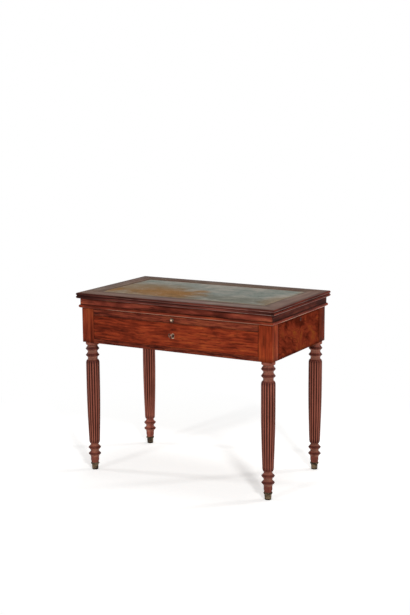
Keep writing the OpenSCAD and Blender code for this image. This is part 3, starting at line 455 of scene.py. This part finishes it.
def put_mesh(name, points, quads, triangles, recess=None):
    """Puts whole arrays of points and faces into a new smooth-shaded object."""
    mesh = bpy.data.meshes.new(name)
    mesh.vertices.add(len(points))
    mesh.vertices.foreach_set("co", np.asarray(points, np.float32).ravel())
    loops = np.concatenate([quads.ravel(), triangles.ravel()]).astype(np.int32)
    starts = np.concatenate([np.arange(len(quads)) * 4, len(quads) * 4 + np.arange(len(triangles)) * 3])
    mesh.loops.add(len(loops))
    mesh.loops.foreach_set("vertex_index", loops)
    mesh.polygons.add(len(starts))
    mesh.polygons.foreach_set("loop_start", starts.astype(np.int32))
    mesh.polygons.foreach_set("use_smooth", np.ones(len(starts), bool))
    mesh.update(calc_edges=True)
    mesh.validate()
    if recess is not None:
        mesh.attributes.new("recess", "FLOAT", "POINT").data.foreach_set(
            "value", np.asarray(recess, np.float32))
    made = bpy.data.objects.new(name, mesh)
    bpy.context.scene.collection.objects.link(made)
    return made


def sharpen(piece, degrees):
    """Keeps edges crisp where two faces meet at more than the given angle."""
    piece.data.set_sharp_from_angle(angle=math.radians(degrees))
    return piece


def grid_faces(rows, columns, wraps=False):
    """Quads between a grid's points, each row closed to a ring if it wraps."""
    i, j = np.indices((rows - 1, columns if wraps else columns - 1))
    k = (j + 1) % columns
    return np.stack([i * columns + j, i * columns + k, (i + 1) * columns + k,
                     (i + 1) * columns + j], -1).reshape(-1, 4)


def closed_tube(rings, marks=0.0, end_mark=0.0):
    """Points, faces and marks of a tube given as rings of points, its two ends closed
    by fans about their middles. Rings run so that the faces point outwards."""
    n, m = rings.shape[:2]
    points = np.concatenate([rings.reshape(-1, 3), rings[:1].mean(1), rings[-1:].mean(1)])
    recess = np.concatenate([np.broadcast_to(marks, (n, m)).ravel(), [end_mark, end_mark]])
    j = np.arange(m)
    k = (j + 1) % m
    low = np.stack([np.full(m, n * m), k, j], -1)
    high = np.stack([np.full(m, n * m + 1), (n - 1) * m + j, (n - 1) * m + k], -1)
    return points, grid_faces(n, m, True), np.concatenate([low, high]), recess


def joined(name, shells):
    """One object from several closed shells of points, quads, triangles and marks."""
    points, quads, triangles, recess = zip(*shells)
    starts = np.cumsum([0] + [len(p) for p in points])
    return put_mesh(name, np.concatenate(points), np.concatenate([q + at for q, at in zip(quads, starts)]),
                    np.concatenate([t + at for t, at in zip(triangles, starts)]), np.concatenate(recess))


def lathe(profile, around):
    """Radius, height and angle of a turned surface: each radius of the profile is
    carried round the upright axis at even angles."""
    angle = np.arange(around) * (2 * np.pi / around)
    return np.broadcast_arrays(profile[:, :1], profile[:, 1:], angle)


def spun(r, z, angle):
    """Points at a radius from the upright axis: radius times cosine, radius times
    sine, and height."""
    return np.stack([r * np.cos(angle), r * np.sin(angle), z], -1)


def board(low, high, round_edge, segments=4):
    """A board with rounded edges along Z: a rounded rectangle is carried upwards,
    drawn in by a quarter circle at both ends."""
    low, high = np.array(low, float), np.array(high, float)
    phi = np.linspace(0, np.pi / 2, segments + 1)
    angle = (phi + np.arange(4)[:, None] * np.pi / 2).ravel()
    sx, sy = (np.repeat(signs, segments + 1) for signs in ((1, -1, -1, 1), (1, 1, -1, -1)))
    half, mid = (high - low) / 2, (high + low) / 2
    inset = round_edge * (1 - np.sin(phi))
    rise = round_edge * (1 - np.cos(phi))
    inset = np.concatenate([inset, inset[::-1]])
    level = np.concatenate([low[2] + rise, high[2] - rise[::-1]])
    r = (round_edge - inset * 0.999)[:, None]
    x = mid[0] + sx * (half[0] - round_edge) + np.cos(angle) * r
    y = mid[1] + sy * (half[1] - round_edge) + np.sin(angle) * r
    return np.stack([x, y, np.broadcast_to(level[:, None], x.shape)], -1)


def arc(cx, cy, r, start, stop, count):
    """Points on a circle from one angle to another, in degrees."""
    a = np.radians(np.linspace(start, stop, count))
    return np.stack([cx + r * np.cos(a), cy + r * np.sin(a)], -1)


def mitred(profile, side, half_x, half_y):
    """A bar along one side of a rectangle: 0 is the front, 1 the right, 2 the back and
    3 the left. Each point of the profile, given as distance out from the middle on the
    front and height, runs to where the next side's same point meets it, so the ends
    are cut at 45 degrees."""
    longer = half_x - half_y
    out, run_more = (profile[:, 0] + longer, -longer) if side % 2 else (profile[:, 0], longer)
    along = np.linspace(1, -1, ALONG)[:, None] * (out + run_more)
    y = -np.broadcast_to(out, along.shape)
    turn = side * np.pi / 2
    return np.stack([along * np.cos(turn) - y * np.sin(turn), along * np.sin(turn) + y * np.cos(turn),
                     np.broadcast_to(profile[:, 1], along.shape)], -1)


def front_bar(node):
    """Half the length and half the depth of the rectangle that a front bar borders, how
    far out the bar's inner face is, and its lower and upper height."""
    low, high = corners(node)
    return high[0], -low[1], -low[1] - (high[1] - low[1]), low[2], high[2]


def mitred_bars(prefix, replaced, profile, marks, end_mark, sizes, body, woods):
    """Four mitred bars round a rectangle, each in the wood of its own grain."""
    for side, name in enumerate(("front", "right", "back", "left")):
        rings = mitred(profile, side, *sizes[:2])
        bar = sharpen(joined(prefix + name, [closed_tube(rings, marks, end_mark)]), 50)
        seat(bar, body, "mahogany_dark", woods["XY"[side % 2]], replaced + name)


def seat(piece, body, slot, material, *nodes):
    """Gives a new piece its finish, its body and the CAD nodes that it stands for."""
    piece.data.materials.append(material)
    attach(piece, body)
    if nodes:
        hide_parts(*nodes)


def paint(node, material):
    """Gives a CAD node a finish. Its shape stays as it is."""
    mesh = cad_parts[node].data
    mesh.materials.clear()
    mesh.materials.append(material)


def corners(node):
    """The lower and the upper corner of a node's box."""
    low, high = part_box(node)
    return tuple(low), tuple(high)


def middle_of(node):
    """The middle of a node's box as seen from above, at height nought."""
    low, high = np.array(corners(node))
    return np.array([*(low[:2] + high[:2]) / 2, 0.0])


# Sizes and colours that a user would change

def length_choice(name, description, default, low, high):
    """A length that a user can change, in metres."""
    return bpy.props.FloatProperty(
        name=name, description=description, default=default, min=low, max=high, unit="LENGTH")


def colour_choice(name, description, code):
    """A colour that a user can change, and the screen colour that it starts from."""
    return bpy.props.FloatVectorProperty(
        name=name, description=description, default=linear(code), size=3, min=0, max=1, subtype="COLOR")


class TableLooks(bpy.types.PropertyGroup):
    """Sizes and colours of the table's visible pieces."""
    reeds: bpy.props.IntProperty(
        name="Reeds", description="Number of reeds round each leg", default=16, min=8, max=24)
    reed_depth: length_choice(
        "Reed depth", "Depth of the hollows between two reeds", 2.6 * MM, 0.5 * MM, 4 * MM)
    edge_round: length_choice(
        "Edge rounding", "Rounding of the posts' worn edges", 1.2 * MM, 0.2 * MM, 3 * MM)
    wear: bpy.props.FloatProperty(
        name="Wear", description="How far edges and crowns are rubbed pale",
        default=1.0, min=0.0, max=1.0, subtype="FACTOR")
    wood_dark: colour_choice("Darkest wood", "Colour of the wood's pores and grime", "#2c0e07")
    wood_deep: colour_choice("Deep wood", "Colour of the dark streaks", "#601f0e")
    wood_red: colour_choice("Red wood", "Main colour of the polished wood", "#893219")
    wood_light: colour_choice("Light wood", "Colour of the light streaks and rubbed edges", "#a64b22")
    leather_colour: colour_choice("Leather", "Colour of the sound leather", "#88877f")
    leather_worn: colour_choice("Worn leather", "Colour of the patch where arms rested", "#805828")
    lamp_power: bpy.props.FloatProperty(
        name="Lamp power", description="About half the power of all lamps together, in watts",
        default=430.0, min=0.0, max=2000.0)
    floor_reach: length_choice("Floor", "Radius of the floor", 60.0, 5.0, 200.0)


def tones(looks, shade, cool):
    """The four tones of the wood, lightened or darkened by a factor, and turned towards
    purple-brown as far as cool tells."""
    found = []
    for c in (looks.wood_dark, looks.wood_deep, looks.wood_red, looks.wood_light):
        c = np.array(c) * shade
        grey = float(c @ np.array([0.35, 0.45, 0.2]))
        found.append(tuple(float(v) for v in c * (1 - cool) + cool * (c * 0.75 + grey * 0.45)))
    return found


# Pieces

def pointed_ring(z, r, neck_low, neck_high, below, above):
    """Profile of a turned ring: it rises in a slightly hollow slope from each neck,
    below and above, to a blunt ridge."""
    d = np.linspace(-1, 1, 29)
    neck = np.where(d < 0, neck_low, neck_high)
    t = (np.sqrt(d * d + 0.02) - math.sqrt(0.02)) / (math.sqrt(1.02) - math.sqrt(0.02))
    return np.stack([neck + (r - neck) * (1 - t) ** 1.55, z + d * np.where(d < 0, below, above)], -1)


def leg_profile():
    """Radius and height of the turned leg, from inside the cap up to the post, in mm."""
    shaft_z = np.linspace(128, 375, 34)
    taper = THIN + 5.65 * np.sin(np.pi / 2 * (shaft_z - 128) / 247)
    full_z = np.linspace(385, 468, 12)
    e = np.linspace(0, 1, 9)[1:]
    top_end = np.stack([THICK - 8.0 * (1 - np.sqrt(1 - (e * 0.999) ** 1.9)), 468 + 14.2 * e], -1)
    low_end = np.stack([THIN - 6.35 * (1 - np.sqrt(1 - (e * 0.999) ** 1.7)), 128 - 13 * e], -1)[::-1]
    return np.concatenate([
        [[12.0, 12.0], [12.0, 31.0], [15.7, 32.1], [16.0, 36.5], [17.3, 41.0],
         [17.6, 46.0], [17.5, 51.0], [17.6, 55.0], [18.0, 57.4]],
        pointed_ring(70.25, 26.6, 18.6, 17.5, 11.8, 12.6)[1:],
        pointed_ring(97.9, 26.6, 17.5, 16.5, 14.6, 14.6)[1:],
        low_end, np.stack([taper, shaft_z], -1), np.stack([THICK + 0 * full_z, full_z], -1), top_end,
        pointed_ring(500.9, THICK, 20.5, 20.4, 10.4, 15.0)[1:],
        pointed_ring(528.9, THICK, 20.4, 20.8, 12.6, 15.2)[1:],
        arc(24.5, 549.5, 3.2, -110, 0, 7), arc(24.5, 555.5, 3.2, 0, 70, 5),
        [[26.0, 559.5], [26.0, 562.0]]])


def reeded(r, z, angle, looks):
    """Carved radius and marks of the legs. Each reed is part of a circle in section, and
    dies out at both ends of the shaft. The marks paint light and shade: painted shade in
    the hollows between the reeds and along the rings' ridges, wider on their upper flanks, and painted
    highlights where the rings run into the necks."""
    depth = looks.reed_depth
    u = np.mod(angle * looks.reeds / (2 * np.pi) + 0.5, 1.0) * 2 - 1
    hollow = 1 - np.sqrt(1 - (u * 0.985) ** 2)
    full = np.interp(z, [0.128, 0.251, 0.375], [THIN, 26.85, THICK]) * MM
    carved = np.clip((r - (full - depth)) / depth, 0, 1)
    carved = np.where((z > REED_LOW) & (z < REED_HIGH), carved, 0)
    shoulder = np.interp(z, [REED_LOW, 0.116, 0.124, 0.134, 0.466, 0.473, 0.480, REED_HIGH],
                         [0, 0.1, 0.1, 0, 0, 0.1, 0.1, 0])
    upper_rings = z > 0.3
    neck, ridge = np.where(upper_rings, 20.5, 17.3) * MM, np.where(upper_rings, THICK, 26.6) * MM
    swell = (r - neck) / (ridge - neck)
    # The marks follow the way each flank faces: painted shade spreads further over flanks that face up,
    # painted highlights over those that face down
    upper_flank = np.interp(swell, [0.0, 0.08, 0.22, 0.32, 0.50, 1.0],
                            [-0.6, -0.72, -0.55, 0.1, 0.21, 0.21])
    lower_flank = np.interp(swell, [0.0, 0.08, 0.45, 0.75, 0.92, 1.0],
                            [-0.6, -0.72, -0.85, -0.45, 0.0, 0.20])
    faces_up = (np.gradient(r[:, 0]) < 0)[:, None]
    marks = np.where(faces_up, upper_flank, lower_flank)
    # The small collar under the post and the foot in its cap have no such flanks
    marks = np.where(z > 0.5463, 0.05, np.where(z < 0.057, 0.12, marks))
    # Painted shade in the hollows between the reeds
    marks = np.where(carved > 0, hollow * carved + shoulder, marks)
    return r - depth * hollow * carved, np.where(z > POST_FOOT - 0.1 * MM, 0, marks)


class TABLE_OT_legs(bpy.types.Operator):
    """Turn and reed the four legs, each with the square post that forms a corner"""
    bl_idname = "table.legs"
    bl_label = "Legs"

    def execute(self, context):
        looks = context.scene.table_looks
        # Shade of the leg, shade and coolness of its post, and turn of its reeds in degrees; the shades
        # differ from leg to leg and post to post as painted light and shade
        woods = {"front_left": (0.81, (0.95, 0.15), -9.9), "front_right": (0.86, (1.18, 0.06), 3.8),
                 "back_left": (1.22, (0.9, 0.1), 0.0), "back_right": (0.94, (0.68, 0.0), 1.5)}
        r, z, angle = lathe(leg_profile() * MM, looks.reeds * 12)
        r, marks = reeded(r, z, angle, looks)
        for place in LEGS:
            node = "leg_" + place
            shade, post_shade, turn = woods[place]
            # The lightest tone is raised for the painted highlights on the reeds' crowns
            wood = mahogany(looks, node, "Z", "straight", (shade, 0.85), 0.3, recess=True,
                            light=tones(looks, 1.4 * shade, 0.85)[3], gloss=0.28, pale=0.32,
                            hollow=(0.04, 0.38), figure=0.45)
            post_wood = mahogany(looks, "post_" + place, "Z", "straight", post_shade, 1.3,
                                 recess=True, wear=0.3, shine=0.01, foot=POST_FOOT)
            low, high = corners(node)
            shaft = closed_tube(spun(r, z, angle + math.radians(turn)) + middle_of(node), marks, 0.6)
            post = closed_tube(board([*low[:2], POST_FOOT], high, looks.edge_round), 0.1, 0.1)
            leg = sharpen(joined("turned_" + node, [shaft, post]), 50)
            seat(leg, "case", "mahogany_dark", wood, node)
            leg.data.materials.append(post_wood)
            centres = np.empty(len(leg.data.polygons) * 3)
            leg.data.polygons.foreach_get("center", centres)
            leg.data.polygons.foreach_set(
                "material_index", (centres[2::3] > POST_FOOT - 0.1 * MM).astype(np.int32))
        return {"FINISHED"}


class TABLE_OT_foot_caps(bpy.types.Operator):
    """Turn the four bronze caps that the legs stand in"""
    bl_idname = "table.foot_caps"
    bl_label = "Foot caps"

    def execute(self, context):
        bronze = metal("bronze_caps", "#76654f", "#554739", "#261d17", 0.40, 2.0, 0.46, recess=True)
        profile = np.concatenate([
            [[0.4, 0.0], [11.5, 0.0], [12.9, 0.5], [13.25, 1.6], [13.5, 6.0], [14.2, 17.0],
             [14.6, 22.6], [15.2, 23.6], [16.9, 24.4]], arc(16.6, 26.9, 1.8, -60, 90, 8),
            [[16.2, 29.0], [16.0, 30.4]], arc(15.9, 31.0, 0.9, -40, 90, 5),
            [[12.4, 32.0], [12.4, 30.0], [0.4, 30.0]]]) * MM
        # The sole and the grooves below and above the bead are dark
        recess = np.zeros((len(profile), 1))
        recess[[0, 1, 2, 3, 7, 8, 9, 16, 17, 18]] = 0.9
        recess[4] = 0.5
        cap = spun(*lathe(profile, AROUND))
        shells = [closed_tube(cap + middle_of("leg_" + place), recess) for place in LEGS]
        seat(sharpen(joined("bronze_foot_caps", shells), 40), "case", "bronze", bronze, "foot_caps")
        return {"FINISHED"}


class TABLE_OT_case(bpy.types.Operator):
    """Polish the case's sides, back and rails, and its half-round moulding"""
    bl_idname = "table.case"
    bl_label = "Case"

    def execute(self, context):
        looks = context.scene.table_looks
        for name, seed in (("apron_left", 2.7), ("apron_right", 0.4)):
            low, high = corners(name)
            # The side's box without its tenons
            bare = (low[0], -0.194, low[2]), (high[0], 0.194, high[2])
            # A wide dark band along each side's edges: painted shade under the moulding as well as soiling
            paint(name, mahogany(looks, name, "Y", "swirled", (1.0, 0.12), seed, bare,
                                 light="#93501f", shine=0.0, grime_and_shade_width=0.014, figure=0.8))
        paint("apron_back", mahogany(looks, "back", "X", "straight", (0.7, 0.0), 5.1, gloss=0.45))
        rail = mahogany(looks, "rails", "X", "streaked", (0.66, 0.25), 1.7, lean=0.1)
        paint("front_rail", rail)
        paint("divider_rail", rail)

        # The right side's moulding is lighter than the front's and has a stronger painted highlight: lit
        # and shaded copies of one wood
        woods = {grain: mahogany(looks, "moulding_" + grain, grain, "straight", (shade, 0.2), 0.9,
                                 recess=True, wear=0.2, gloss=0.30, pale=pale)
                 for grain, shade, pale in (("X", 0.95, 0.45), ("Y", 1.35, 1.0))}
        _, half_y, inner, bottom, top = sizes = front_bar("moulding_front")
        r = (top - bottom) / 2
        nose = arc(half_y - r, bottom + r, r, -90, 90, 17)
        # Marks paint shade on the top and underside of the half-round and a highlight along its lower flank
        marks = np.interp(np.linspace(-90, 90, 17), [-90, -86, -66, -34, -12, 30, 60, 90],
                          [0.6, -1, -1, -1, 0, 0.40, 0.85, 1])
        mitred_bars("half_round_", "moulding_", np.concatenate([nose, [[inner, top], [inner, bottom]]]),
                    np.concatenate([marks, [0.6, 0.6]]), 0.6, sizes, "case", woods)
        return {"FINISHED"}


class TABLE_OT_lifting_frame(bpy.types.Operator):
    """Polish the frame that carries the top"""
    bl_idname = "table.lifting_frame"
    bl_label = "Lifting frame"

    def execute(self, context):
        looks = context.scene.table_looks
        # Each side has its own shade as painted light and shade, the right side darkest
        for name, grain, seed, shade in (("front", "X", 3.3, 1.12), ("right", "Y", 1.1, 0.52),
                                         ("back", "X", 6.2, 0.9), ("left", "Y", 4.9, 0.8)):
            node = "lift_frame_" + name
            paint(node, mahogany(looks, node, grain, "straight", (shade, 0.42), seed, corners(node),
                                 shine=0.01, lean=-0.04))
        return {"FINISHED"}


class TABLE_OT_top(bpy.types.Operator):
    """Make the top's mitred border with its moulded edge of two beads"""
    bl_idname = "table.top"
    bl_label = "Top"

    def execute(self, context):
        looks = context.scene.table_looks
        _, half_y, inner, bottom, top = sizes = front_bar("top_rail_front")
        bead = (top - bottom) / 4
        quirk = 3 * MM
        slope = math.degrees(math.acos(1 - quirk / bead))
        lower = arc(half_y - bead, bottom + bead, bead, -90, slope, 15)
        upper = arc(half_y - bead, top - bead, bead, -slope, 90, 15)
        bevel = 0.6 * MM
        face = np.array([[half_y - 2.4 * bead, top], [inner + bevel, top], [inner, top - bevel],
                         [inner, bottom]])
        profile = np.concatenate([lower, upper, face])
        # The quirk between the beads and the underside of the lower bead are painted shade, and each bead
        # has a flank with a painted highlight
        marks = np.zeros(len(profile))
        marks[[13, 14, 15, 16]] = (0.6, 1.0, 1.0, 0.5)
        marks[[4, 5, 6, 18, 19]] = -1.0
        marks[:2] = 0.6
        marks[-5:] = 0.15
        woods = {grain: worn_border(grain, looks, sizes) for grain in "XY"}
        mitred_bars("border_", "top_rail_", profile, marks, 0.5, sizes, "table_top", woods)
        paint("top_panel", mahogany(looks, "panel", "X", "straight", (0.7, 0.0), 8.0, gloss=0.5))
        return {"FINISHED"}


def leather_sheet(low, high, nx=190, ny=96):
    """Points and faces of the leather. Its upper face is a grid, 0.2 mm low, whose height
    is a gentle swell, the product of two bent sines, less a bell curve of the distance
    from the edge, and less a narrow one about the tooled line 9 mm inside it. The
    grid's rim is carried down to a flat underside, a fan about its middle."""
    x, y = np.meshgrid(np.linspace(low[0], high[0], nx), np.linspace(low[1], high[1], ny), indexing="ij")
    inside = np.minimum(high[0] - np.abs(x), high[1] - np.abs(y))
    swell = 0.00012 * np.sin(23 * x + 3 * np.sin(9 * y)) * np.sin(31 * y + 2 * np.sin(7 * x))
    z = high[2] - 0.0002 + swell - 0.0005 * np.exp(-(inside / 0.002) ** 2)
    z = z - 0.0003 * np.exp(-((inside - 0.009) / 0.0016) ** 2)
    top = np.stack([x, y, z], -1).reshape(-1, 3)
    rim = np.concatenate([np.arange(nx) * ny, (nx - 1) * ny + np.arange(1, ny),
                          np.arange(nx - 2, -1, -1) * ny + ny - 1, np.arange(ny - 2, 0, -1)])
    skirt = top[rim]
    skirt[:, 2] = low[2]
    k = np.arange(len(rim))
    n = (k + 1) % len(rim)
    foot = len(top) + k
    next_foot = len(top) + n
    walls = np.stack([rim[n], rim[k], foot, next_foot], -1)
    under = np.stack([np.full(len(rim), len(top) + len(rim)), next_foot, foot], -1)
    upper = np.roll(grid_faces(nx, ny)[:, ::-1], 1, axis=1)
    return np.concatenate([top, skirt, [[0, 0, low[2]]]]), np.concatenate([upper, walls]), under


class TABLE_OT_leather(bpy.types.Operator):
    """Lay the tooled leather, pressed down round its edge and slightly uneven"""
    bl_idname = "table.leather"
    bl_label = "Leather"

    def execute(self, context):
        box = corners("leather_lining")
        sheet = sharpen(put_mesh("leather_sheet", *leather_sheet(*box)), 60)
        seat(sheet, "table_top", "leather", leather(context.scene.table_looks, box), "leather_lining")
        return {"FINISHED"}


class TABLE_OT_fronts(bpy.types.Operator):
    """Polish the fronts of the writing slide and the drawer, and the slide's board"""
    bl_idname = "table.fronts"
    bl_label = "Fronts"

    def execute(self, context):
        looks = context.scene.table_looks
        for name, shade, seed, lean, figure in (("drawer", (1.15, 0.04), 2.2, 0.05, 0.72),
                                                ("slide", (0.86, 0.3), 7.4, 0.15, 0.85)):
            node = name + "_front"
            paint(node, mahogany(looks, name, "X", "streaked", shade, seed, corners(node), lean=lean,
                                 figure=figure))
        paint("slide_board", mahogany(looks, "board", "X", "straight", (0.85, 0.0), 9.9, gloss=0.5))
        return {"FINISHED"}


class TABLE_OT_knob(bpy.types.Operator):
    """Turn the slide's brass knob"""
    bl_idname = "table.knob"
    bl_label = "Knob"

    def execute(self, context):
        low, high = np.array(corners("slide_knob"))
        face = corners("slide_front")[0][1]
        r, out = (high[2] - low[2]) / 2, face - low[1]
        s = np.linspace(0, np.pi, 20)
        ball = np.stack([r * np.sin(s) ** 0.8, out * 0.62 - out * 0.38 * np.cos(s)], -1)[2:-1]
        # A pin that runs 13.4 mm into the slide's front, then a collar, the neck and the ball
        profile = np.concatenate([
            [[0.0002, -13.4 * MM], [3 * MM, -13.4 * MM], [3 * MM, 0], [r * 0.70, 0], [r * 0.72, 0.0008],
             [r * 0.66, 0.0016], [r * 0.46, 0.0024], [r * 0.40, 0.0034]], ball, [[0.0003, out]]])
        # The stem and the rim are darkened as painted shade, and the crown keeps the light brass as a
        # painted highlight
        crown = np.interp(profile[:, 0], [r * 0.24, r * 0.48], [0.0, 0.95])
        recess = np.where(profile[:, 1] < out * 0.72, 0.95, crown)[:, None]
        x, y, z = np.moveaxis(spun(*lathe(profile, AROUND)), -1, 0)
        centre = (low + high) / 2
        knob = closed_tube(np.stack([centre[0] + x, face - z, centre[2] + y], -1), recess)
        brass = metal("brass_knob", "#eccbae", "#b8917a", "#2c1409", 0.22, 4.0, 0.28, recess=True)
        seat(sharpen(joined("turned_knob", [knob]), 45), "writing_slide", "brass", brass, "slide_knob")
        return {"FINISHED"}


def wire_ring(centre_y, half_y, half_z, wire, around=16):
    """An upright oval ring of wire: round each point of an ellipse, which lies across X,
    runs a circle of the wire's radius, spanned by the ellipse's normal and, a little
    flattened, by X."""
    t = (np.arange(AROUND) * 2 * np.pi / AROUND)[:, None]
    a = np.arange(around) * 2 * np.pi / around
    normal_y, normal_z = np.cos(t) / half_y, np.sin(t) / half_z
    length = np.hypot(normal_y, normal_z)
    y = centre_y + half_y * np.cos(t) + normal_y / length * wire * np.cos(a)
    z = half_z * np.sin(t) + normal_z / length * wire * np.cos(a)
    points = np.stack([np.broadcast_to(wire * 0.85 * np.sin(a), y.shape), y, z], -1).reshape(-1, 3)
    quads = np.roll(grid_faces(AROUND + 1, around, True)[:, ::-1], 1, axis=1) % len(points)
    return points, quads, np.zeros((0, 3), int), np.zeros(len(points))


class TABLE_OT_lock(bpy.types.Operator):
    """Finish the keyhole plate, the lock and the key that hangs in it"""
    bl_idname = "table.lock"
    bl_label = "Lock and key"

    def execute(self, context):
        paint("keyhole_escutcheon", keyhole_plate())
        paint("lock_case", metal("brass_lock", "#a98f55", "#7d683a", "#2f2414", 0.38, 7.0))
        iron = metal("iron_key", "#9a9184", "#6f675c", "#231c15", 0.34, 8.0, 0.46)
        paint("lock_bolt", iron)
        front = corners("key")[0][1]
        bow = wire_ring(front + 9.5 * MM, 7.9 * MM, 9.9 * MM, 1.6 * MM)
        shank = np.array([[1.2, 17.4], [2.9, 17.8], [2.9, 18.6], [2.2, 18.9], [3.6, 19.2], [3.9, 19.9],
                          [3.9, 20.6], [3.6, 21.3], [2.5, 21.5], [2.5, 47.4], [2.2, 47.9]]) * MM
        x, y, z = np.moveaxis(spun(*lathe(shank, 28)), -1, 0)
        rod = closed_tube(np.stack([x, front + z, -y], -1))
        bit = closed_tube(board([-1.8 * MM, -237.7 * MM, -9 * MM], [1.8 * MM, -233.4 * MM, 0], 0.3 * MM, 2))
        shells = []
        lean = math.radians(KEY_LEAN)
        cos, sin = math.cos(lean), math.sin(lean)
        for points, *rest in (bow, rod, bit):
            x, y, z = points.T
            hung = np.stack([x * cos - z * sin, y, KEY_AXIS + (x * sin + z * cos)], -1)
            shells.append((hung, *rest))
        seat(sharpen(joined("iron_key", shells), 45), "key", "iron", iron, "key")
        return {"FINISHED"}


class TABLE_OT_gear(bpy.types.Operator):
    """Finish the lifting gear, the easel, the hinges and the inner rails"""
    bl_idname = "table.gear"
    bl_label = "Lifting gear and easel"

    def execute(self, context):
        looks = context.scene.table_looks
        arms, rail = (mahogany(looks, name, grain, "straight", (0.85, 0.0), seed, gloss=0.45)
                      for name, grain, seed in (("arms", "Y", 3.0), ("cross_rail", "X", 4.0)))
        finishes = (
            (metal("iron_gear", "#5c5852", "#403c37", "#241f1a", 0.45, 1.0),
             ("pawl_stud", "rack_left", "rack_right", "rack_screws", "lift_shaft", "pinions",
              "ratchet_wheel", "pawl", "strut_pivot_rod", "strut_foot_rod")),
            (metal("brass_fittings", "#b99a58", "#8a7040", "#2f2414", 0.32, 3.0), ("shaft_bearings",)),
            (metal("brass_hinges", "#5a4426", "#3a2a18", "#1c130b", 0.45, 3.5),
             ("hinge_lower_leaves", "hinge_upper_leaves", "hinge_pins")),
            (metal("bronze_plate", "#773b2b", "#5c2617", "#2a120a", 0.5, 5.0), ("crank_escutcheon",)),
            (oak("Z", 0.0), ("lift_post_left", "lift_post_right", "post_guides")),
            (oak("Y", 1.0),
             ("drawer_runners", "slide_runners", "notch_strips", "strut_cleats", "drawer_sides")),
            (oak("X", 2.0), ("drawer_back", "drawer_bottom")),
            (arms, ("strut_arms",)), (rail, ("strut_cross_rail",)))
        for finish, nodes in finishes:
            for node in nodes:
                paint(node, finish)
        return {"FINISHED"}


def floor_disc(reach, rings=24, around=96):
    """A flat disc: even angles on circles whose radii grow by a constant factor up to
    the floor's reach, and a fan about the middle inside the smallest of 0.3 m."""
    angle = np.arange(around) * 2 * np.pi / around
    circle = np.stack([np.cos(angle), np.sin(angle), 0 * angle], -1)
    points = (np.geomspace(0.3, reach, rings)[:, None, None] * circle).reshape(-1, 3)
    k = np.arange(around)
    fan = np.stack([np.full(around, len(points)), k, (k + 1) % around], -1)
    return np.concatenate([points, [[0, 0, 0]]]), grid_faces(rings, around, True)[:, ::-1], fan


class TABLE_OT_stage(bpy.types.Operator):
    """Lay the pale floor, light it softly and set the camera where the photograph was taken"""
    bl_idname = "table.stage"
    bl_label = "Stage"

    def execute(self, context):
        looks, scene = context.scene.table_looks, context.scene
        floor = put_mesh("floor", *floor_disc(looks.floor_reach))
        floor.data.materials.append(floor_finish())

        # The studio is plain white where it is seen, and lights the table more softly
        scene.world = bpy.data.worlds.new("studio")
        scene.world.use_nodes = True
        studio = Nodes(scene.world.node_tree)
        studio.tree.nodes.clear()
        soft, white = (studio.node("Background", {"Color": colour, "Strength": strength})
                       for colour, strength in ((WARM_WHITE, 0.26), ((1.0, 1.0, 1.0), 1.0)))
        mix = studio.node("MixShader", {0: studio.seen(), 1: soft, 2: white})
        studio.node("OutputWorld", {"Surface": mix})

        # Place of each lamp, height that it aims at, its diameter and its share of the power
        for name, place, aim, size, share in (
                ("key", (5.3, -5.7, 5.2), 0.5, 1.0, 0.72), ("fill", (-1.8, -8.4, 5.5), 0.5, 1.0, 0.30),
                ("left", (-7.6, -2.1, 4.6), 0.4, 0.7, 0.28), ("right", (5.6, 5.2, 4.6), 0.4, 0.7, 0.28),
                ("over", (0.4, 1.6, 8.0), 0.4, 4.0, 0.34)):
            data = bpy.data.lights.new("lamp_" + name, "AREA")
            data.shape, data.size, data.energy = "DISK", size, looks.lamp_power * share
            data.color = WARM_WHITE
            lamp = bpy.data.objects.new("lamp_" + name, data)
            lamp.location = place
            ahead = Vector((0, 0, aim)) - Vector(place)
            lamp.rotation_euler = ahead.to_track_quat("-Z", "Y").to_euler()
            scene.collection.objects.link(lamp)

        # The photograph's camera: its turns in radians, and its focal length and picture in pixels
        yaw, pitch, roll = -0.51471, -0.17421, -0.00642
        focal, tall = 1173.56, 615
        data = bpy.data.cameras.new("camera")
        data.sensor_width, data.lens = 36.0, focal * 36 / tall
        data.clip_start, data.clip_end = 0.1, 200.0
        camera = bpy.data.objects.new("camera", data)
        camera.matrix_world = (
            Matrix.Translation((2.38676, -4.20763, 1.55345)) @ Matrix.Rotation(-yaw, 4, "Z")
            @ Matrix.Rotation(math.pi / 2 + pitch, 4, "X") @ Matrix.Rotation(roll, 4, "Z"))
        scene.collection.objects.link(camera)
        scene.camera = camera
        scene.view_settings.view_transform = "Standard"
        return {"FINISHED"}


OPERATORS = (TABLE_OT_legs, TABLE_OT_foot_caps, TABLE_OT_case, TABLE_OT_lifting_frame, TABLE_OT_top,
             TABLE_OT_leather, TABLE_OT_fronts, TABLE_OT_knob, TABLE_OT_lock, TABLE_OT_gear, TABLE_OT_stage)


class TABLE_PT_panel(bpy.types.Panel):
    """Lists the table's pieces, sizes and colours"""
    bl_idname = "TABLE_PT_panel"
    bl_label = "Architect's table"
    bl_space_type = "VIEW_3D"
    bl_region_type = "UI"
    bl_category = "Table"

    def draw(self, context):
        for name in TableLooks.__annotations__:
            self.layout.prop(context.scene.table_looks, name)
        for operator in OPERATORS:
            self.layout.operator(operator.bl_idname)


def register():
    for cls in (TableLooks, *OPERATORS, TABLE_PT_panel):
        bpy.utils.register_class(cls)
    bpy.types.Scene.table_looks = bpy.props.PointerProperty(type=TableLooks)


def unregister():
    del bpy.types.Scene.table_looks
    for cls in reversed((TableLooks, *OPERATORS, TABLE_PT_panel)):
        bpy.utils.unregister_class(cls)


def main():
    """Registers the classes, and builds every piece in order."""
    register()
    for operator in OPERATORS:
        getattr(bpy.ops.table, operator.bl_idname.split(".")[1])()


if __name__ == "__main__":
    main()
